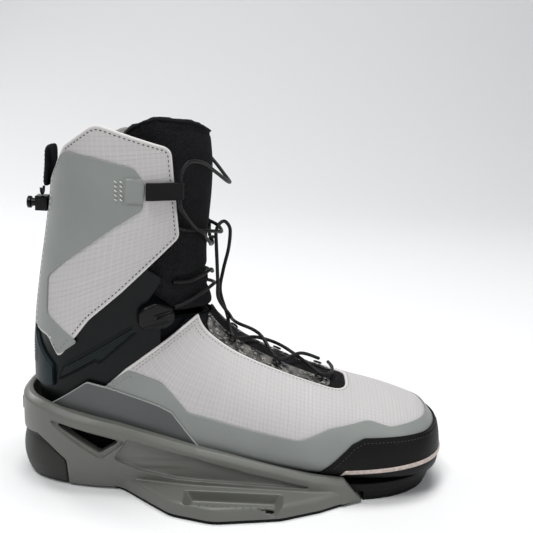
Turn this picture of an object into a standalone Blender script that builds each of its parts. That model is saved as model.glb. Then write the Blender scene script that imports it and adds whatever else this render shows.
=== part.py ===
"""Wakeboard boot built into a moulded chassis: soft upper, laces, liner, sole and board mounting frame.

Sizes are in millimetres here and become metres when a mesh is made. The origin is midway between the two
mounting slots, on the underside. +X points to the toe, +Y to the inner side of the foot, +Z up.
"""
import math

import bmesh
import bpy
from mathutils import Matrix, Vector
from mathutils.geometry import interpolate_bezier

MM = 0.001
GAP = 0.35

# ---- driving dimensions -------------------------------------------------------------------------------
INSERT_SPACING = 152.4          # between the board's two rows of threaded inserts (6 inches)
SLOT_LENGTH = 62.0
SLOT_WIDTH = 7.4
SOLE_TOP = 15.6                 # the last stands just above this
GASKET = 2.0
CHASSIS_FLOOR = GASKET + GAP
OUTSOLE_BASE = 9.0
WING_TOP = 13.0
WALL_CLEARANCE = 3.6            # from the last to the chassis wall, room for the side guards
LACE = 2.8
TONGUE_HALF_WIDTH = 46.0
SPINE_HALF_TOP = 28.0
SPINE_HALF_MID = 22.5
TONGUE_AXIS = (-30.0, 0.0, 139.0)
FINE = (22, 24)                 # rings and points around, for what shows
COARSE = (15, 18)               # for the inside and for cutters

# How far each layer of the upper lies outside the last: outer face, inner face.
LINER = (-6.2, -11.0)
SHELL = (-1.9, -3.7)
UPPER = (0.0, -1.6)
OVERLAY = (1.1, 0.3)
GUARD = (3.0, 1.45)
TRIM = (4.0, 3.35)

# Sections of the last from toe to collar. Each is a closed ring in a plane that stands upright at the
# toe, leans back over the instep and lies level at the collar.
# sole or heel point x, z; instep point x, z; half width; share of the height where the ring is widest;
# roundness of the instep side; roundness of the sole or heel side (2 is an ellipse, 4 is nearly square)
LAST = [
    (160.0, 30.0, 160.0, 40.0, 6.0, 0.50, 2.0, 2.0),
    (158.5, 20.5, 158.5, 49.5, 19.0, 0.45, 2.0, 2.6),
    (154.0, 17.0, 154.0, 57.0, 30.0, 0.42, 2.1, 3.0),
    (145.0, 16.0, 145.0, 66.0, 40.0, 0.40, 2.2, 3.2),
    (131.0, 16.0, 131.0, 71.0, 47.5, 0.38, 2.3, 3.2),
    (112.0, 16.0, 112.0, 77.0, 52.5, 0.37, 2.2, 3.2),
    (88.0, 16.0, 88.0, 83.5, 55.0, 0.35, 2.1, 3.0),
    (62.0, 16.0, 62.0, 91.0, 55.0, 0.34, 2.0, 2.9),
    (35.0, 16.0, 36.0, 100.0, 53.0, 0.34, 1.95, 2.8),
    (8.0, 16.0, 14.0, 110.0, 50.0, 0.34, 1.9, 2.8),
    (-20.0, 16.0, -3.0, 120.0, 47.0, 0.34, 1.9, 2.8),
    (-55.0, 16.0, -14.0, 129.5, 46.0, 0.35, 1.9, 2.8),
    (-95.0, 16.0, -21.0, 138.0, 46.0, 0.38, 1.9, 2.8),
    (-130.0, 18.0, -25.0, 147.0, 46.5, 0.42, 1.95, 2.7),
    (-152.0, 36.0, -27.0, 156.0, 48.0, 0.46, 2.0, 2.5),
    (-161.0, 66.0, -28.0, 167.0, 50.5, 0.48, 2.0, 2.4),
    (-162.5, 98.0, -29.0, 180.0, 53.0, 0.50, 2.05, 2.3),
    (-161.0, 132.0, -29.0, 195.0, 55.5, 0.50, 2.1, 2.3),
    (-157.0, 166.0, -28.0, 212.0, 58.0, 0.50, 2.1, 2.3),
    (-152.0, 200.0, -27.0, 231.0, 60.5, 0.50, 2.1, 2.3),
    (-148.0, 232.0, -27.0, 250.0, 62.5, 0.50, 2.1, 2.3),
    (-147.0, 262.0, -29.0, 270.0, 64.0, 0.50, 2.1, 2.3),
    (-149.0, 292.0, -33.0, 292.0, 65.0, 0.50, 2.1, 2.3),
]
LAST_END = len(LAST) - 1
LINER_START = 3.0               # the liner's toe is blunter than the boot's
TOE_BEND_START = 20.0           # forward of this the last bends towards the big toe
TOE_BEND = 6.0
TOE_BEND_LENGTH = 140.0


# ---- scene and materials ------------------------------------------------------------------------------
def clear_scene():
    for item in list(bpy.data.objects):
        bpy.data.objects.remove(item, do_unlink=True)


def new_collection(name):
    collection = bpy.data.collections.new(name)
    bpy.context.scene.collection.children.link(collection)
    return collection


clear_scene()
BOOT = new_collection("wakeboard_boot")
CUTTERS = new_collection("cutters")


def material(name, colour, roughness, metallic=0.0, alpha=1.0):
    made = bpy.data.materials.new(name)
    made.use_nodes = True
    shader = made.node_tree.nodes["Principled BSDF"]
    shader.inputs["Base Color"].default_value = (*colour, 1.0)
    shader.inputs["Roughness"].default_value = roughness
    shader.inputs["Metallic"].default_value = metallic
    shader.inputs["Alpha"].default_value = alpha
    return made


FINISHES = {
    "chassis_nylon": material("chassis_nylon", (0.125, 0.13, 0.12), 0.45),
    "black_rubber": material("black_rubber", (0.012, 0.012, 0.012), 0.7),
    "heel_rubber": material("heel_rubber", (0.014, 0.015, 0.012), 0.75),
    "white_ripstop": material("white_ripstop", (0.62, 0.60, 0.58), 0.85),
    "grey_overlay": material("grey_overlay", (0.25, 0.26, 0.245), 0.5),
    "heel_shell": material("heel_shell", (0.014, 0.025, 0.03), 0.4),
    "side_guard": material("side_guard", (0.09, 0.095, 0.093), 0.4),
    "black_mesh": material("black_mesh", (0.012, 0.012, 0.014), 0.9),
    "neoprene": material("neoprene", (0.01, 0.01, 0.012), 0.95),
    "foam": material("foam", (0.03, 0.03, 0.035), 0.9),
    "webbing": material("webbing", (0.01, 0.01, 0.01), 0.85),
    "pull_tape": material("pull_tape", (0.42, 0.40, 0.35), 0.8),
    "lace": material("lace", (0.008, 0.008, 0.008), 0.6),
    "gloss_plastic": material("gloss_plastic", (0.01, 0.01, 0.01), 0.15),
    "reflective_strip": material("reflective_strip", (0.5, 0.44, 0.4), 0.35, 0.3),
    "clear_film": material("clear_film", (0.3, 0.3, 0.3), 0.1, 0.0, 0.5),
    "steel": material("steel", (0.5, 0.5, 0.5), 0.3, 1.0),
    "badge": material("badge", (0.10, 0.105, 0.085), 0.35, 0.6),
}


def object_from_bmesh(name, bm, finish=None, collection=None):
    mesh = bpy.data.meshes.new(name)
    bmesh.ops.recalc_face_normals(bm, faces=bm.faces)
    bm.to_mesh(mesh)
    bm.free()
    made = bpy.data.objects.new(name, mesh)
    (collection or CUTTERS).objects.link(made)
    if finish:
        mesh.materials.append(FINISHES[finish])
        mesh.shade_smooth()
        mesh.set_sharp_from_angle(angle=math.radians(35))
    else:
        made.hide_render = True
        made.display_type = "WIRE"
    return made


# ---- the last -----------------------------------------------------------------------------------------
def between_sections(t):
    """The section at t, by a Catmull-Rom curve through the sections of LAST."""
    index = min(int(t), LAST_END - 1)
    u = t - index
    p0 = LAST[max(index - 1, 0)]
    p1 = LAST[index]
    p2 = LAST[index + 1]
    p3 = LAST[min(index + 2, LAST_END)]
    return [
        0.5 * (2 * b + (c - a) * u + (2 * a - 5 * b + 4 * c - d) * u**2 + (3 * b - a - 3 * c + d) * u**3)
        for a, b, c, d in zip(p0, p1, p2, p3)
    ]


def toe_bend(x):
    if x <= TOE_BEND_START:
        return 0.0
    return TOE_BEND * ((x - TOE_BEND_START) / TOE_BEND_LENGTH) ** 1.5


def signed_power(value, power):
    return math.copysign(abs(value) ** power, value)


def surface_point(t, turn, width_limit):
    """A point of the bare last. turn is 0 at the instep and a quarter at the outer side."""
    sole_x, sole_z, top_x, top_z, half_width, widest, top_round, sole_round = between_sections(t)
    half_width = min(half_width, width_limit)
    angle = 2 * math.pi * turn
    across = math.sin(angle)
    up = math.cos(angle)
    roundness = top_round if up >= 0 else sole_round
    reach = (1 - widest) if up >= 0 else widest
    share = widest + reach * signed_power(up, 2 / roundness)
    x = sole_x + (top_x - sole_x) * share
    z = sole_z + (top_z - sole_z) * share
    y = -half_width * signed_power(across, 2 / roundness)
    return Vector((x, y + toe_bend(x), z))


def last_point(t, turn, offset=0.0, width_limit=999.0):
    """A point the given distance outside the last."""
    step_t = 0.02
    step_turn = 0.004
    low = min(max(t - step_t, 0.0), LAST_END - 2 * step_t)
    along = surface_point(low + 2 * step_t, turn, width_limit) - surface_point(low, turn, width_limit)
    around = surface_point(t, turn + step_turn, width_limit) - surface_point(t, turn - step_turn, width_limit)
    normal = along.cross(around).normalized()
    return surface_point(t, turn, width_limit) + normal * offset


def loft_mesh(offset, first=0.0, width_limit=999.0, grid=FINE, closed=False):
    """The last's surface at an offset, from section first to the collar. The toe is always capped."""
    bm = bmesh.new()
    rows = []
    rings, around = grid
    for ring in range(rings):
        t = first + (LAST_END - first) * ring / (rings - 1)
        row = []
        for step in range(around):
            point = last_point(t, step / around, offset, width_limit)
            row.append(bm.verts.new(point * MM))
        rows.append(row)
    for lower, upper in zip(rows, rows[1:]):
        for step in range(around):
            after = (step + 1) % around
            bm.faces.new((lower[step], lower[after], upper[after], upper[step]))
    bm.faces.new(rows[0])
    if closed:
        bm.faces.new(rows[-1])
    bmesh.ops.recalc_face_normals(bm, faces=bm.faces)
    if not closed and bm.faces[0].normal.dot(bm.faces[0].calc_center_median() - Vector((0, 0, 0.05))) < 0:
        bmesh.ops.reverse_faces(bm, faces=bm.faces)
    return bm


def last_cutter(name, offset, first=0.0, grid=FINE):
    bm = loft_mesh(offset, first, grid=grid, closed=True)
    bmesh.ops.triangulate(bm, faces=bm.faces)
    return object_from_bmesh(name, bm)


def shell_piece(name, layer, finish, first=0.0, width_limit=999.0, grid=FINE):
    """One layer of the upper, as an open surface that Solidify thickens inwards."""
    outer, inner = layer
    bm = loft_mesh(outer, first, width_limit, grid)
    mesh = bpy.data.meshes.new(name)
    bm.to_mesh(mesh)
    bm.free()
    mesh.materials.append(FINISHES[finish])
    mesh.shade_smooth()
    piece = bpy.data.objects.new(name, mesh)
    BOOT.objects.link(piece)
    wall = piece.modifiers.new("wall", "SOLIDIFY")
    wall.thickness = (outer - inner) * MM
    wall.offset = -1.0
    wall.use_even_offset = True
    return piece


# ---- outlines and cutters -----------------------------------------------------------------------------
def rounded(corners, steps=3):
    """An outline from corners (a, b, radius), with an arc in each corner that has a radius."""
    outline = []
    count = len(corners)
    for index, (a, b, radius) in enumerate(corners):
        corner = Vector((a, b))
        if radius == 0:
            outline.append(corner)
            continue
        before = Vector(corners[index - 1][:2]) - corner
        after = Vector(corners[(index + 1) % count][:2]) - corner
        bend = before.angle(after)
        cut = min(radius / math.tan(bend / 2), before.length * 0.48, after.length * 0.48)
        start = corner + before.normalized() * cut
        end = corner + after.normalized() * cut
        for step in range(steps + 1):
            u = step / steps
            outline.append(start * (1 - u) ** 2 + corner * 2 * u * (1 - u) + end * u**2)
    return outline


def prism_bmesh(outline, plane, low, high):
    """A closed prism on an outline in the XZ, XY or YZ plane, between two places on the third axis."""
    def place(a, b, c):
        if plane == "XZ":
            return Vector((a, c, b)) * MM
        if plane == "XY":
            return Vector((a, b, c)) * MM
        return Vector((c, a, b)) * MM

    bm = bmesh.new()
    corners = [bm.verts.new(place(a, b, low)) for a, b in outline]
    base = bm.faces.new(corners)
    grown = bmesh.ops.extrude_face_region(bm, geom=[base])
    moved = [item for item in grown["geom"] if isinstance(item, bmesh.types.BMVert)]
    bmesh.ops.translate(bm, vec=place(0, 0, high) - place(0, 0, low), verts=moved)
    return bm


def prism_cutter(name, corners, plane, low, high):
    return object_from_bmesh(name, prism_bmesh(rounded(corners), plane, low, high))


def boolean(piece, cutter, operation="DIFFERENCE"):
    step = piece.modifiers.new(operation.lower(), "BOOLEAN")
    step.operation = operation
    step.object = cutter
    step.solver = "EXACT"


# The Y span of a prism that takes one side of the boot: -1 outer, +1 inner, 0 both.
SIDE_SPAN = {-1: (-130.0, -1.0), 1: (1.0, 130.0), 0: (-130.0, 130.0)}


def panel(name, layer, finish, corners, side=0, first=0.0, width_limit=999.0, grid=FINE):
    """A panel of the upper: one layer of the last, kept inside an outline seen from the side."""
    piece = shell_piece(name, layer, finish, first, width_limit, grid)
    low, high = SIDE_SPAN[side]
    boolean(piece, prism_cutter("cut_" + name, corners, "XZ", low, high), "INTERSECT")
    return piece


def box(name, low, high, finish=None, bevel=0.0):
    bm = bmesh.new()
    bmesh.ops.create_cube(bm, size=1.0)
    size = Vector(high) - Vector(low)
    centre = (Vector(high) + Vector(low)) / 2
    bmesh.ops.scale(bm, vec=size * MM, verts=bm.verts)
    bmesh.ops.translate(bm, vec=centre * MM, verts=bm.verts)
    made = object_from_bmesh(name, bm, finish, BOOT if finish else CUTTERS)
    if bevel:
        edge = made.modifiers.new("edge", "BEVEL")
        edge.width = bevel * MM
        edge.segments = 2
    return made


def cylinder(bm, centre, axis, radius, length, around=16, tip_radius=None):
    turn = Vector((0, 0, 1)).rotation_difference(Vector(axis)).to_matrix().to_4x4()
    turn.translation = Vector(centre) * MM
    bmesh.ops.create_cone(
        bm, cap_ends=True, segments=around, radius1=radius * MM,
        radius2=(radius if tip_radius is None else tip_radius) * MM, depth=length * MM, matrix=turn,
    )


def cylinder_cutter(name, centre, axis, radius, length, around=16):
    bm = bmesh.new()
    cylinder(bm, centre, axis, radius, length, around)
    return object_from_bmesh(name, bm)


def hinge_at(piece, place):
    """Put the piece's origin on its joint's axis."""
    shift = Vector(place) * MM - piece.location
    piece.data.transform(Matrix.Translation(-shift))
    piece.location += shift


# ---- outlines of the upper, seen from the side (x, z, corner radius) ----------------------------------
FLAP = [
    (-180, 234, 0), (-147, 236, 8), (-131, 266, 14), (-106, 284, 14), (-53, 268, 9), (-50, 236, 20),
    (-47, 202, 8), (-88, 161, 40), (-112, 139, 30), (-132, 112, 6), (-137, 106, 5), (-146, 121, 6),
    (-180, 127, 0),
]
MEDIAL_FLAP = [
    (-180, 234, 0), (-147, 236, 8), (-131, 258, 14), (-106, 271, 14), (-53, 262, 9), (-50, 236, 20),
    (-47, 202, 8), (-88, 161, 40), (-112, 139, 30), (-132, 112, 6), (-137, 106, 5), (-146, 121, 6),
    (-180, 127, 0),
]
FLAP_OVERLAY = [
    (-180, 232, 0), (-148, 234, 8), (-131, 263, 8), (-104, 259.5, 30), (-78, 254, 9), (-70.5, 243, 5),
    (-72, 224, 8), (-92, 211, 20), (-128, 184, 14), (-145, 168, 8), (-146, 139, 8), (-121, 121, 2),
    (-131, 113, 3), (-137, 108.5, 4), (-146, 124, 5), (-180, 130, 0),
]
MEDIAL_OVERLAY = [
    (-180, 232, 0), (-148, 234, 8), (-134, 252, 8), (-128, 232, 10), (-130, 190, 20), (-120, 160, 16),
    (-118, 142, 10), (-132, 114, 3), (-137, 108.5, 4), (-146, 124, 5), (-180, 130, 0),
]
HEEL_SHELL = [
    (-180, 8, 0), (-180, 230, 0), (-148, 230, 10), (-100, 200, 20), (-58, 171, 6), (-70, 152, 6),
    (-73, 138, 5), (-42, 133, 3), (-40, 100, 10), (-55, 60, 10), (-58, 8, 0),
]
VAMP = [
    (-106, 84.5, 3), (-34, 138.5, 2), (-20, 139, 0), (180, 139, 0), (180, 0, 0), (-60, 0, 0), (-88, 45, 12),
]
VAMP_OVERLAY = [
    (-101, 86.5, 2), (-83, 99.5, 2), (-59, 90, 8), (-50, 81, 8), (-38, 67, 10), (-2, 59, 30), (48, 51, 20),
    (70, 61, 12), (100, 66.5, 20), (118, 61, 12), (150, 62.5, 0), (180, 63, 0), (180, 20, 0), (-34, 20, 0), (-44, 34, 6),
]
SIDE_GUARD = [
    (-150, 63, 3), (-114, 90, 4), (-98, 86, 3), (-60, 72.5, 4), (-50, 67.5, 3), (-26, 37, 2), (-26, 22, 0),
    (-150, 22, 0),
]
TOE_RAND = [
    (62, 16.4, 0), (62, 22, 2), (88, 50.5, 6), (97, 55, 6), (180, 54, 0), (180, 16.4, 0),
]
TOE_TRIM = [
    (80, 23, 0), (84, 25.5, 0), (120, 28, 20), (158, 31.5, 0), (180, 34, 0), (180, 37.5, 0), (158, 35, 0),
    (120, 31.5, 20), (84, 29, 0),
]
LINER_SIDE = [
    (-180, 10, 0), (-180, 246, 0), (-150, 247, 20), (-122, 257, 16), (-100, 267, 12), (-82, 275, 8),
    (-74, 274, 5), (-84, 186, 60), (-78, 146, 12), (-64, 137, 6), (-20, 137, 0), (180, 137, 0), (180, 10, 0),
]
TONGUE_SIDE = [
    (-97, 268, 4), (-85, 283, 14), (-62, 292, 18), (-34, 290, 7), (0, 270, 0), (0, 142.5, 0), (-52, 142.5, 8),
    (-74, 162, 14), (-92, 230, 20),
]
TONGUE_TOP = 284.0              # at the middle; the rim falls from the lateral side to the medial side
TONGUE_TILT = 0.14
INSTEP_TONGUE = [(-46, 136, 3), (-10, 138, 0), (120, 138, 0), (120, 60, 0), (40, 60, 0), (-46, 100, 0)]
THROAT = [(-90, -22, 0), (84, -22, 14), (84, 22, 14), (-90, 22, 0)]
EYESTAY_OUTER = [(-26, -21.4, 3), (70, -21.4, 10), (72, -12, 4), (-26, -12, 3)]
SPINE = [
    (-SPINE_HALF_TOP, 238, 5), (SPINE_HALF_TOP, 238, 5), (SPINE_HALF_MID, 150, 60), (SPINE_HALF_MID + 1, 120, 8),
    (43, 99, 12), (44, 80, 8), (-44, 80, 8), (-43, 99, 12), (-SPINE_HALF_MID - 1, 120, 8),
    (-SPINE_HALF_MID, 150, 60),
]


def widened(corners, by):
    """The spine's outline, wider by a gap on each side."""
    return [(a + math.copysign(by, a), b, radius) for a, b, radius in corners]


# ---- soft upper ---------------------------------------------------------------------------------------
def build_upper():
    spine_gap = prism_cutter("cut_spine_gap", widened(SPINE, GAP), "YZ", -200, -110)
    throat = prism_cutter("cut_throat", THROAT, "XY", 62, 220)

    vamp = panel("vamp", UPPER, "white_ripstop", VAMP)
    boolean(vamp, throat)
    overlay = panel("vamp_overlay", OVERLAY, "grey_overlay", VAMP_OVERLAY)
    boolean(overlay, throat)
    shell = panel("heel_shell", SHELL, "heel_shell", HEEL_SHELL)
    boolean(shell, prism_cutter("cut_ankle", [(-60, -40, 0), (0, -40, 0), (0, 40, 0), (-60, 40, 0)], "XY", 60, 260))
    spine = shell_piece("spine", (0.9, -1.6), "heel_shell")
    boolean(spine, prism_cutter("cut_spine", SPINE, "YZ", -200, -110), "INTERSECT")
    boolean(spine, prism_cutter("cut_spine_top", [(-180, 60, 0), (-110, 60, 0), (-110, 237, 0), (-180, 237, 0)],
                                "XZ", -60, 60), "INTERSECT")

    for name, side, outline, overlay_outline in (("lateral", -1, FLAP, FLAP_OVERLAY),
                                                 ("medial", 1, MEDIAL_FLAP, MEDIAL_OVERLAY)):
        flap = panel("cuff_" + name, UPPER, "white_ripstop", outline, side)
        boolean(flap, spine_gap)
        strip = panel("cuff_overlay_" + name, OVERLAY, "grey_overlay", overlay_outline, side)
        boolean(strip, spine_gap)
        panel("side_guard_" + name, GUARD, "side_guard", SIDE_GUARD, side)
    panel("toe_rand", GUARD, "black_rubber", TOE_RAND)
    panel("toe_trim", TRIM, "reflective_strip", TOE_TRIM)


def build_inside():
    panel("liner", LINER, "neoprene", LINER_SIDE, 0, LINER_START, grid=COARSE)
    tongue = panel("tongue", (0.0, -6.5), "black_mesh", TONGUE_SIDE, 0, 9.0, TONGUE_HALF_WIDTH, COARSE)
    high, low = TONGUE_TOP + 60 * TONGUE_TILT, TONGUE_TOP - 60 * TONGUE_TILT
    boolean(tongue, prism_cutter("cut_tongue_top", [(-60, high, 0), (60, low, 0), (60, 320, 0), (-60, 320, 0)],
                                 "YZ", -120, 20))
    hinge_at(tongue, TONGUE_AXIS)
    instep = panel("tongue_instep", (-2.3, -4.6), "black_mesh", INSTEP_TONGUE, 0, 4.0)
    boolean(instep, prism_cutter("cut_instep_width", [(-60, -34, 0), (92, -34, 14), (92, 34, 14), (-60, 34, 0)],
                                 "XY", 50, 220), "INTERSECT")
    footbed = slab("footbed", foot_outline(-21.0), 30.4, 34.0, "foam")
    boolean(footbed, box("cut_footbed_heel", (-200, -60, 20), (-112, 60, 45)))


def build_eyestays():
    for name, side in (("lateral", 1), ("medial", -1)):
        corners = [(x, y * side, radius) for x, y, radius in EYESTAY_OUTER]
        piece = shell_piece("eyestay_" + name, (-0.3, -1.5), "clear_film", 4.0)
        boolean(piece, prism_cutter("cut_eyestay_" + name, corners, "XY", 62, 220), "INTERSECT")


# ---- sole and chassis ---------------------------------------------------------------------------------
FOOT_HALF = [
    (-154, 0), (-150, 20), (-136, 34), (-104, 38), (-60, 40), (-15, 43), (30, 48.5), (72, 51), (106, 48),
    (132, 38), (150, 21), (157, 0),
]


def foot_outline(grow=0.0, front=200.0):
    """The sole's outline: a smooth curve through FOOT_HALF and its mirror image, bent towards the big toe."""
    ring = FOOT_HALF + [(x, -y) for x, y in reversed(FOOT_HALF[1:-1])]
    count = len(ring)
    outline = []
    for index in range(count):
        p0, p1 = Vector(ring[index - 1]), Vector(ring[index])
        p2, p3 = Vector(ring[(index + 1) % count]), Vector(ring[(index + 2) % count])
        curve = interpolate_bezier(p1, p1 + (p2 - p0) / 6, p2 - (p3 - p1) / 6, p2, 4)
        outline += curve[:-1]
    grown = []
    for index, point in enumerate(outline):
        ahead = outline[(index + 1) % len(outline)] - outline[index - 1]
        normal = Vector((-ahead.y, ahead.x)).normalized()
        moved = point.xy + normal * grow
        grown.append((min(moved.x, front), moved.y + toe_bend(moved.x)))
    return grown


def slab(name, outline, low, high, finish=None):
    return object_from_bmesh(name, prism_bmesh(outline, "XY", low, high), finish, BOOT if finish else CUTTERS)


SCREWS = [(-72, 17), (-72, -17), (52, 22), (52, -22)]
SCREW_HOLE = 2.9                # radius
SOLE_EDGE = 1.5                 # from the sole's outline out to the outsole's side
TOE_BLOCK_START = 99.5
RECESS_FLOOR = 4.4              # where the bolt washers sit, round each slot
POCKET_FLOOR = 52.4             # from the middle plane to the scooped pocket's floor


def toe_part(grow, name, low, high):
    piece = slab(name, foot_outline(grow), low, high)
    boolean(piece, box(name + "_start", (-300, -100, -5), (TOE_BLOCK_START, 100, 30)))
    return piece


def build_outsole():
    outsole = slab("outsole", foot_outline(SOLE_EDGE), OUTSOLE_BASE, SOLE_TOP, "black_rubber")
    boolean(outsole, toe_part(0.0, "toe_step_upper", 4.6, OUTSOLE_BASE + 1), "UNION")
    boolean(outsole, toe_part(-2.0, "toe_step_lower", 0.0, 5.2), "UNION")
    for index, (x, y) in enumerate(SCREWS):
        boolean(outsole, cylinder_cutter(f"screw_hole_{index}", (x, y, OUTSOLE_BASE), (0, 0, 1), SCREW_HOLE, 9.0, 12))


def chassis_outline(z, grow=0.0):
    """The chassis block's outline at one height: a rounded heel that narrows downwards, open to the front."""
    rise = min(max(z, 0.0) / 85.0, 1.0)
    half = 41.5 + 17.5 * math.sin(rise * math.pi / 2) ** 0.8 + grow
    back = -167.5 - 4.5 * min(rise * 2, 1.0) - grow
    heel_length = 78.0
    outline = []
    steps = 12
    for step in range(-steps, steps + 1):
        angle = step / steps * math.pi / 2
        x = back + heel_length * (1 - abs(math.cos(angle)) ** (2 / 2.5))
        y = half * signed_power(math.sin(angle), 2 / 2.5)
        outline.append((x, y))
    front_half = 57.5 + grow
    outline += [(-30.0, max(half, front_half - 2)), (60.0, front_half), (84.0, front_half - 2.5), (104.0, 44.0)]
    outline += [(104.0, -44.0), (84.0, 2.5 - front_half), (60.0, -front_half), (-30.0, -max(half, front_half - 2))]
    return outline


def chassis_block(name, low, high, finish, grow=0.0):
    """A solid block on the chassis outline, which changes with height."""
    bm = bmesh.new()
    rows = []
    levels = 7
    for level in range(levels):
        z = low + (high - low) * level / (levels - 1)
        rows.append([bm.verts.new(Vector((x, y, z)) * MM) for x, y in chassis_outline(z, grow)])
    count = len(rows[0])
    for lower, upper in zip(rows, rows[1:]):
        for step in range(count):
            after = (step + 1) % count
            bm.faces.new((lower[step], lower[after], upper[after], upper[step]))
    bm.faces.new(rows[0])
    bm.faces.new(rows[-1])
    bmesh.ops.triangulate(bm, faces=bm.faces)
    return object_from_bmesh(name, bm, finish, BOOT)


CHASSIS_SIDE = [
    (-180, 72, 0), (-150, 71.5, 8), (-118, 64.5, 40), (-73, 54.5, 30), (3, 34, 60), (40, 26.5, 30), (83, 22.5, 3),
    (98, 3.5, 1), (98, -4, 0), (-129.6, -4, 0), (-129.6, 8, 2), (-130.2, 25, 4), (-143, 37, 4), (-153, 44, 3),
    (-180, 38, 0),
]
HEEL_PAD_SIDE = [
    (-180, 37.6, 0), (-153, 43.6, 3), (-143.4, 36.6, 4), (-130.6, 24.8, 4), (-130, 8, 2), (-130, 0, 0),
    (-158, 0, 4), (-180, 8, 0),
]
WING = [
    (-106, 36, 8), (-86, 48, 24), (-64, 68, 30), (-46, 84, 26), (-14, 93.5, 30), (36, 84, 30), (66, 69, 30),
    (86, 55, 10), (99, 44, 3),
]
WINDOW = [(-141, 58, 2), (-88, 45.5, 2), (-104, 33.5, 3)]
POCKET = [(-85, 41.5, 2), (10, 20, 3), (60, 15.5, 2), (-50, 17.5, 6), (-82, 28, 4)]


def wing_outline(shrink=0.0):
    half = [(x * (1 - shrink * 0.01), y - shrink, radius) for x, y, radius in WING]
    return rounded(half + [(x, -y, radius) for x, y, radius in reversed(half)])


def slot_corners(side):
    y = side * INSERT_SPACING / 2
    half_length = SLOT_LENGTH / 2
    half_width = SLOT_WIDTH / 2
    return [
        (-half_length, y - half_width, half_width), (half_length, y - half_width, half_width),
        (half_length, y + half_width, half_width), (-half_length, y + half_width, half_width),
    ]


def build_chassis():
    clear_of_last = last_cutter("cut_foot_room", WALL_CLEARANCE)
    sole_pocket = slab("cut_sole_pocket", foot_outline(SOLE_EDGE + GAP), OUTSOLE_BASE - GAP, 60)

    chassis = chassis_block("chassis", -3.0, 80.0, "chassis_nylon")
    boolean(chassis, prism_cutter("cut_chassis_side", CHASSIS_SIDE, "XZ", -100, 100), "INTERSECT")
    boolean(chassis, prism_cutter("cut_window", WINDOW, "XZ", -100, 100))
    for side in (-1, 1):
        low, high = sorted((side * POCKET_FLOOR, side * 100))
        boolean(chassis, prism_cutter(f"cut_pocket_{side}", POCKET, "XZ", low, high))
    for side in (-1, 1):
        edge = [(x, y * side, radius) for x, y, radius in WING[1:-1]]
        plate = rounded([(-98, 43.5 * side, 0)] + edge + [(95, 43.5 * side, 0)])
        boolean(chassis, slab(f"wing_plate_{side}", plate, -2.0, WING_TOP), "UNION")
    boolean(chassis, box("cut_underside", (-300, -150, -20), (300, 150, CHASSIS_FLOOR)))
    boolean(chassis, clear_of_last)
    boolean(chassis, sole_pocket)
    for side in (-1, 1):
        boolean(chassis, prism_cutter(f"cut_slot_{side}", slot_corners(side), "XY", -5, 30))
        y = side * INSERT_SPACING / 2
        recess = [(-34, y - 9.5, 3), (34, y - 9.5, 3), (34, y + 9.5, 3), (-34, y + 9.5, 3)]
        boolean(chassis, prism_cutter(f"cut_recess_{side}", recess, "XY", RECESS_FLOOR, 30))
    boolean(chassis, box("cut_badge", (-180, -14.5, 51), (-170, 14.5, 62)))
    for index, (x, y) in enumerate(SCREWS):
        boolean(chassis, cylinder_cutter(f"floor_hole_{index}", (x, y, 5), (0, 0, 1), SCREW_HOLE, 20, 12))
        boolean(chassis, cylinder_cutter(f"floor_sink_{index}", (x, y, 2), (0, 0, 1), 5.4, 6.4, 16))
    box("heel_badge", (-172.4, -14.1, 51.4), (-170.3, 14.1, 61.6), "badge", 0.6)

    heel_pad = chassis_block("heel_pad", 0.0, 50.0, "heel_rubber", 0.6)
    boolean(heel_pad, prism_cutter("cut_heel_pad", HEEL_PAD_SIDE, "XZ", -100, 100), "INTERSECT")
    boolean(heel_pad, clear_of_last)
    boolean(heel_pad, sole_pocket)

    gasket = slab("base_gasket", wing_outline(1.0), 0.0, GASKET, "black_rubber")
    for side in (-1, 1):
        boolean(gasket, prism_cutter(f"cut_gasket_slot_{side}", slot_corners(side), "XY", -5, 30))
    for index, (x, y) in enumerate(SCREWS):
        boolean(gasket, cylinder_cutter(f"gasket_hole_{index}", (x, y, 0), (0, 0, 1), 6.0, 10))


def build_screws():
    for index, (x, y) in enumerate(SCREWS):
        head = bmesh.new()
        cylinder(head, (x, y, 3.7), (0, 0, 1), 5.0, 2.6, 16)
        screw = object_from_bmesh(f"sole_screw_{index + 1}", head, "steel", BOOT)
        shank = bmesh.new()
        cylinder(shank, (x, y, 8.5), (0, 0, 1), 2.5, 8.0, 12)
        boolean(screw, object_from_bmesh(f"shank_{index + 1}", shank), "UNION")


# ---- laces, loops and trim ----------------------------------------------------------------------------
def smooth_route(points, per_span):
    """Points along a smooth curve through the route's own points."""
    route = [Vector(point) for point in points]
    result = [route[0]]
    for index in range(len(route) - 1):
        before = route[max(index - 1, 0)]
        after = route[min(index + 2, len(route) - 1)]
        start, end = route[index], route[index + 1]
        span = interpolate_bezier(start, start + (end - before) / 6, end - (after - start) / 6, end, per_span + 1)
        result += span[1:]
    return result


def cord(name, points, finish="lace", diameter=LACE, per_span=3):
    curve = bpy.data.curves.new(name, "CURVE")
    curve.dimensions = "3D"
    curve.bevel_depth = diameter / 2 * MM
    curve.bevel_resolution = 2
    curve.use_fill_caps = True
    curve.materials.append(FINISHES[finish])
    spline = curve.splines.new("POLY")
    route = smooth_route(points, per_span)
    spline.points.add(len(route) - 1)
    for item, point in zip(spline.points, route):
        item.co = (*(point * MM), 1.0)
    made = bpy.data.objects.new(name, curve)
    BOOT.objects.link(made)
    return made


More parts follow.
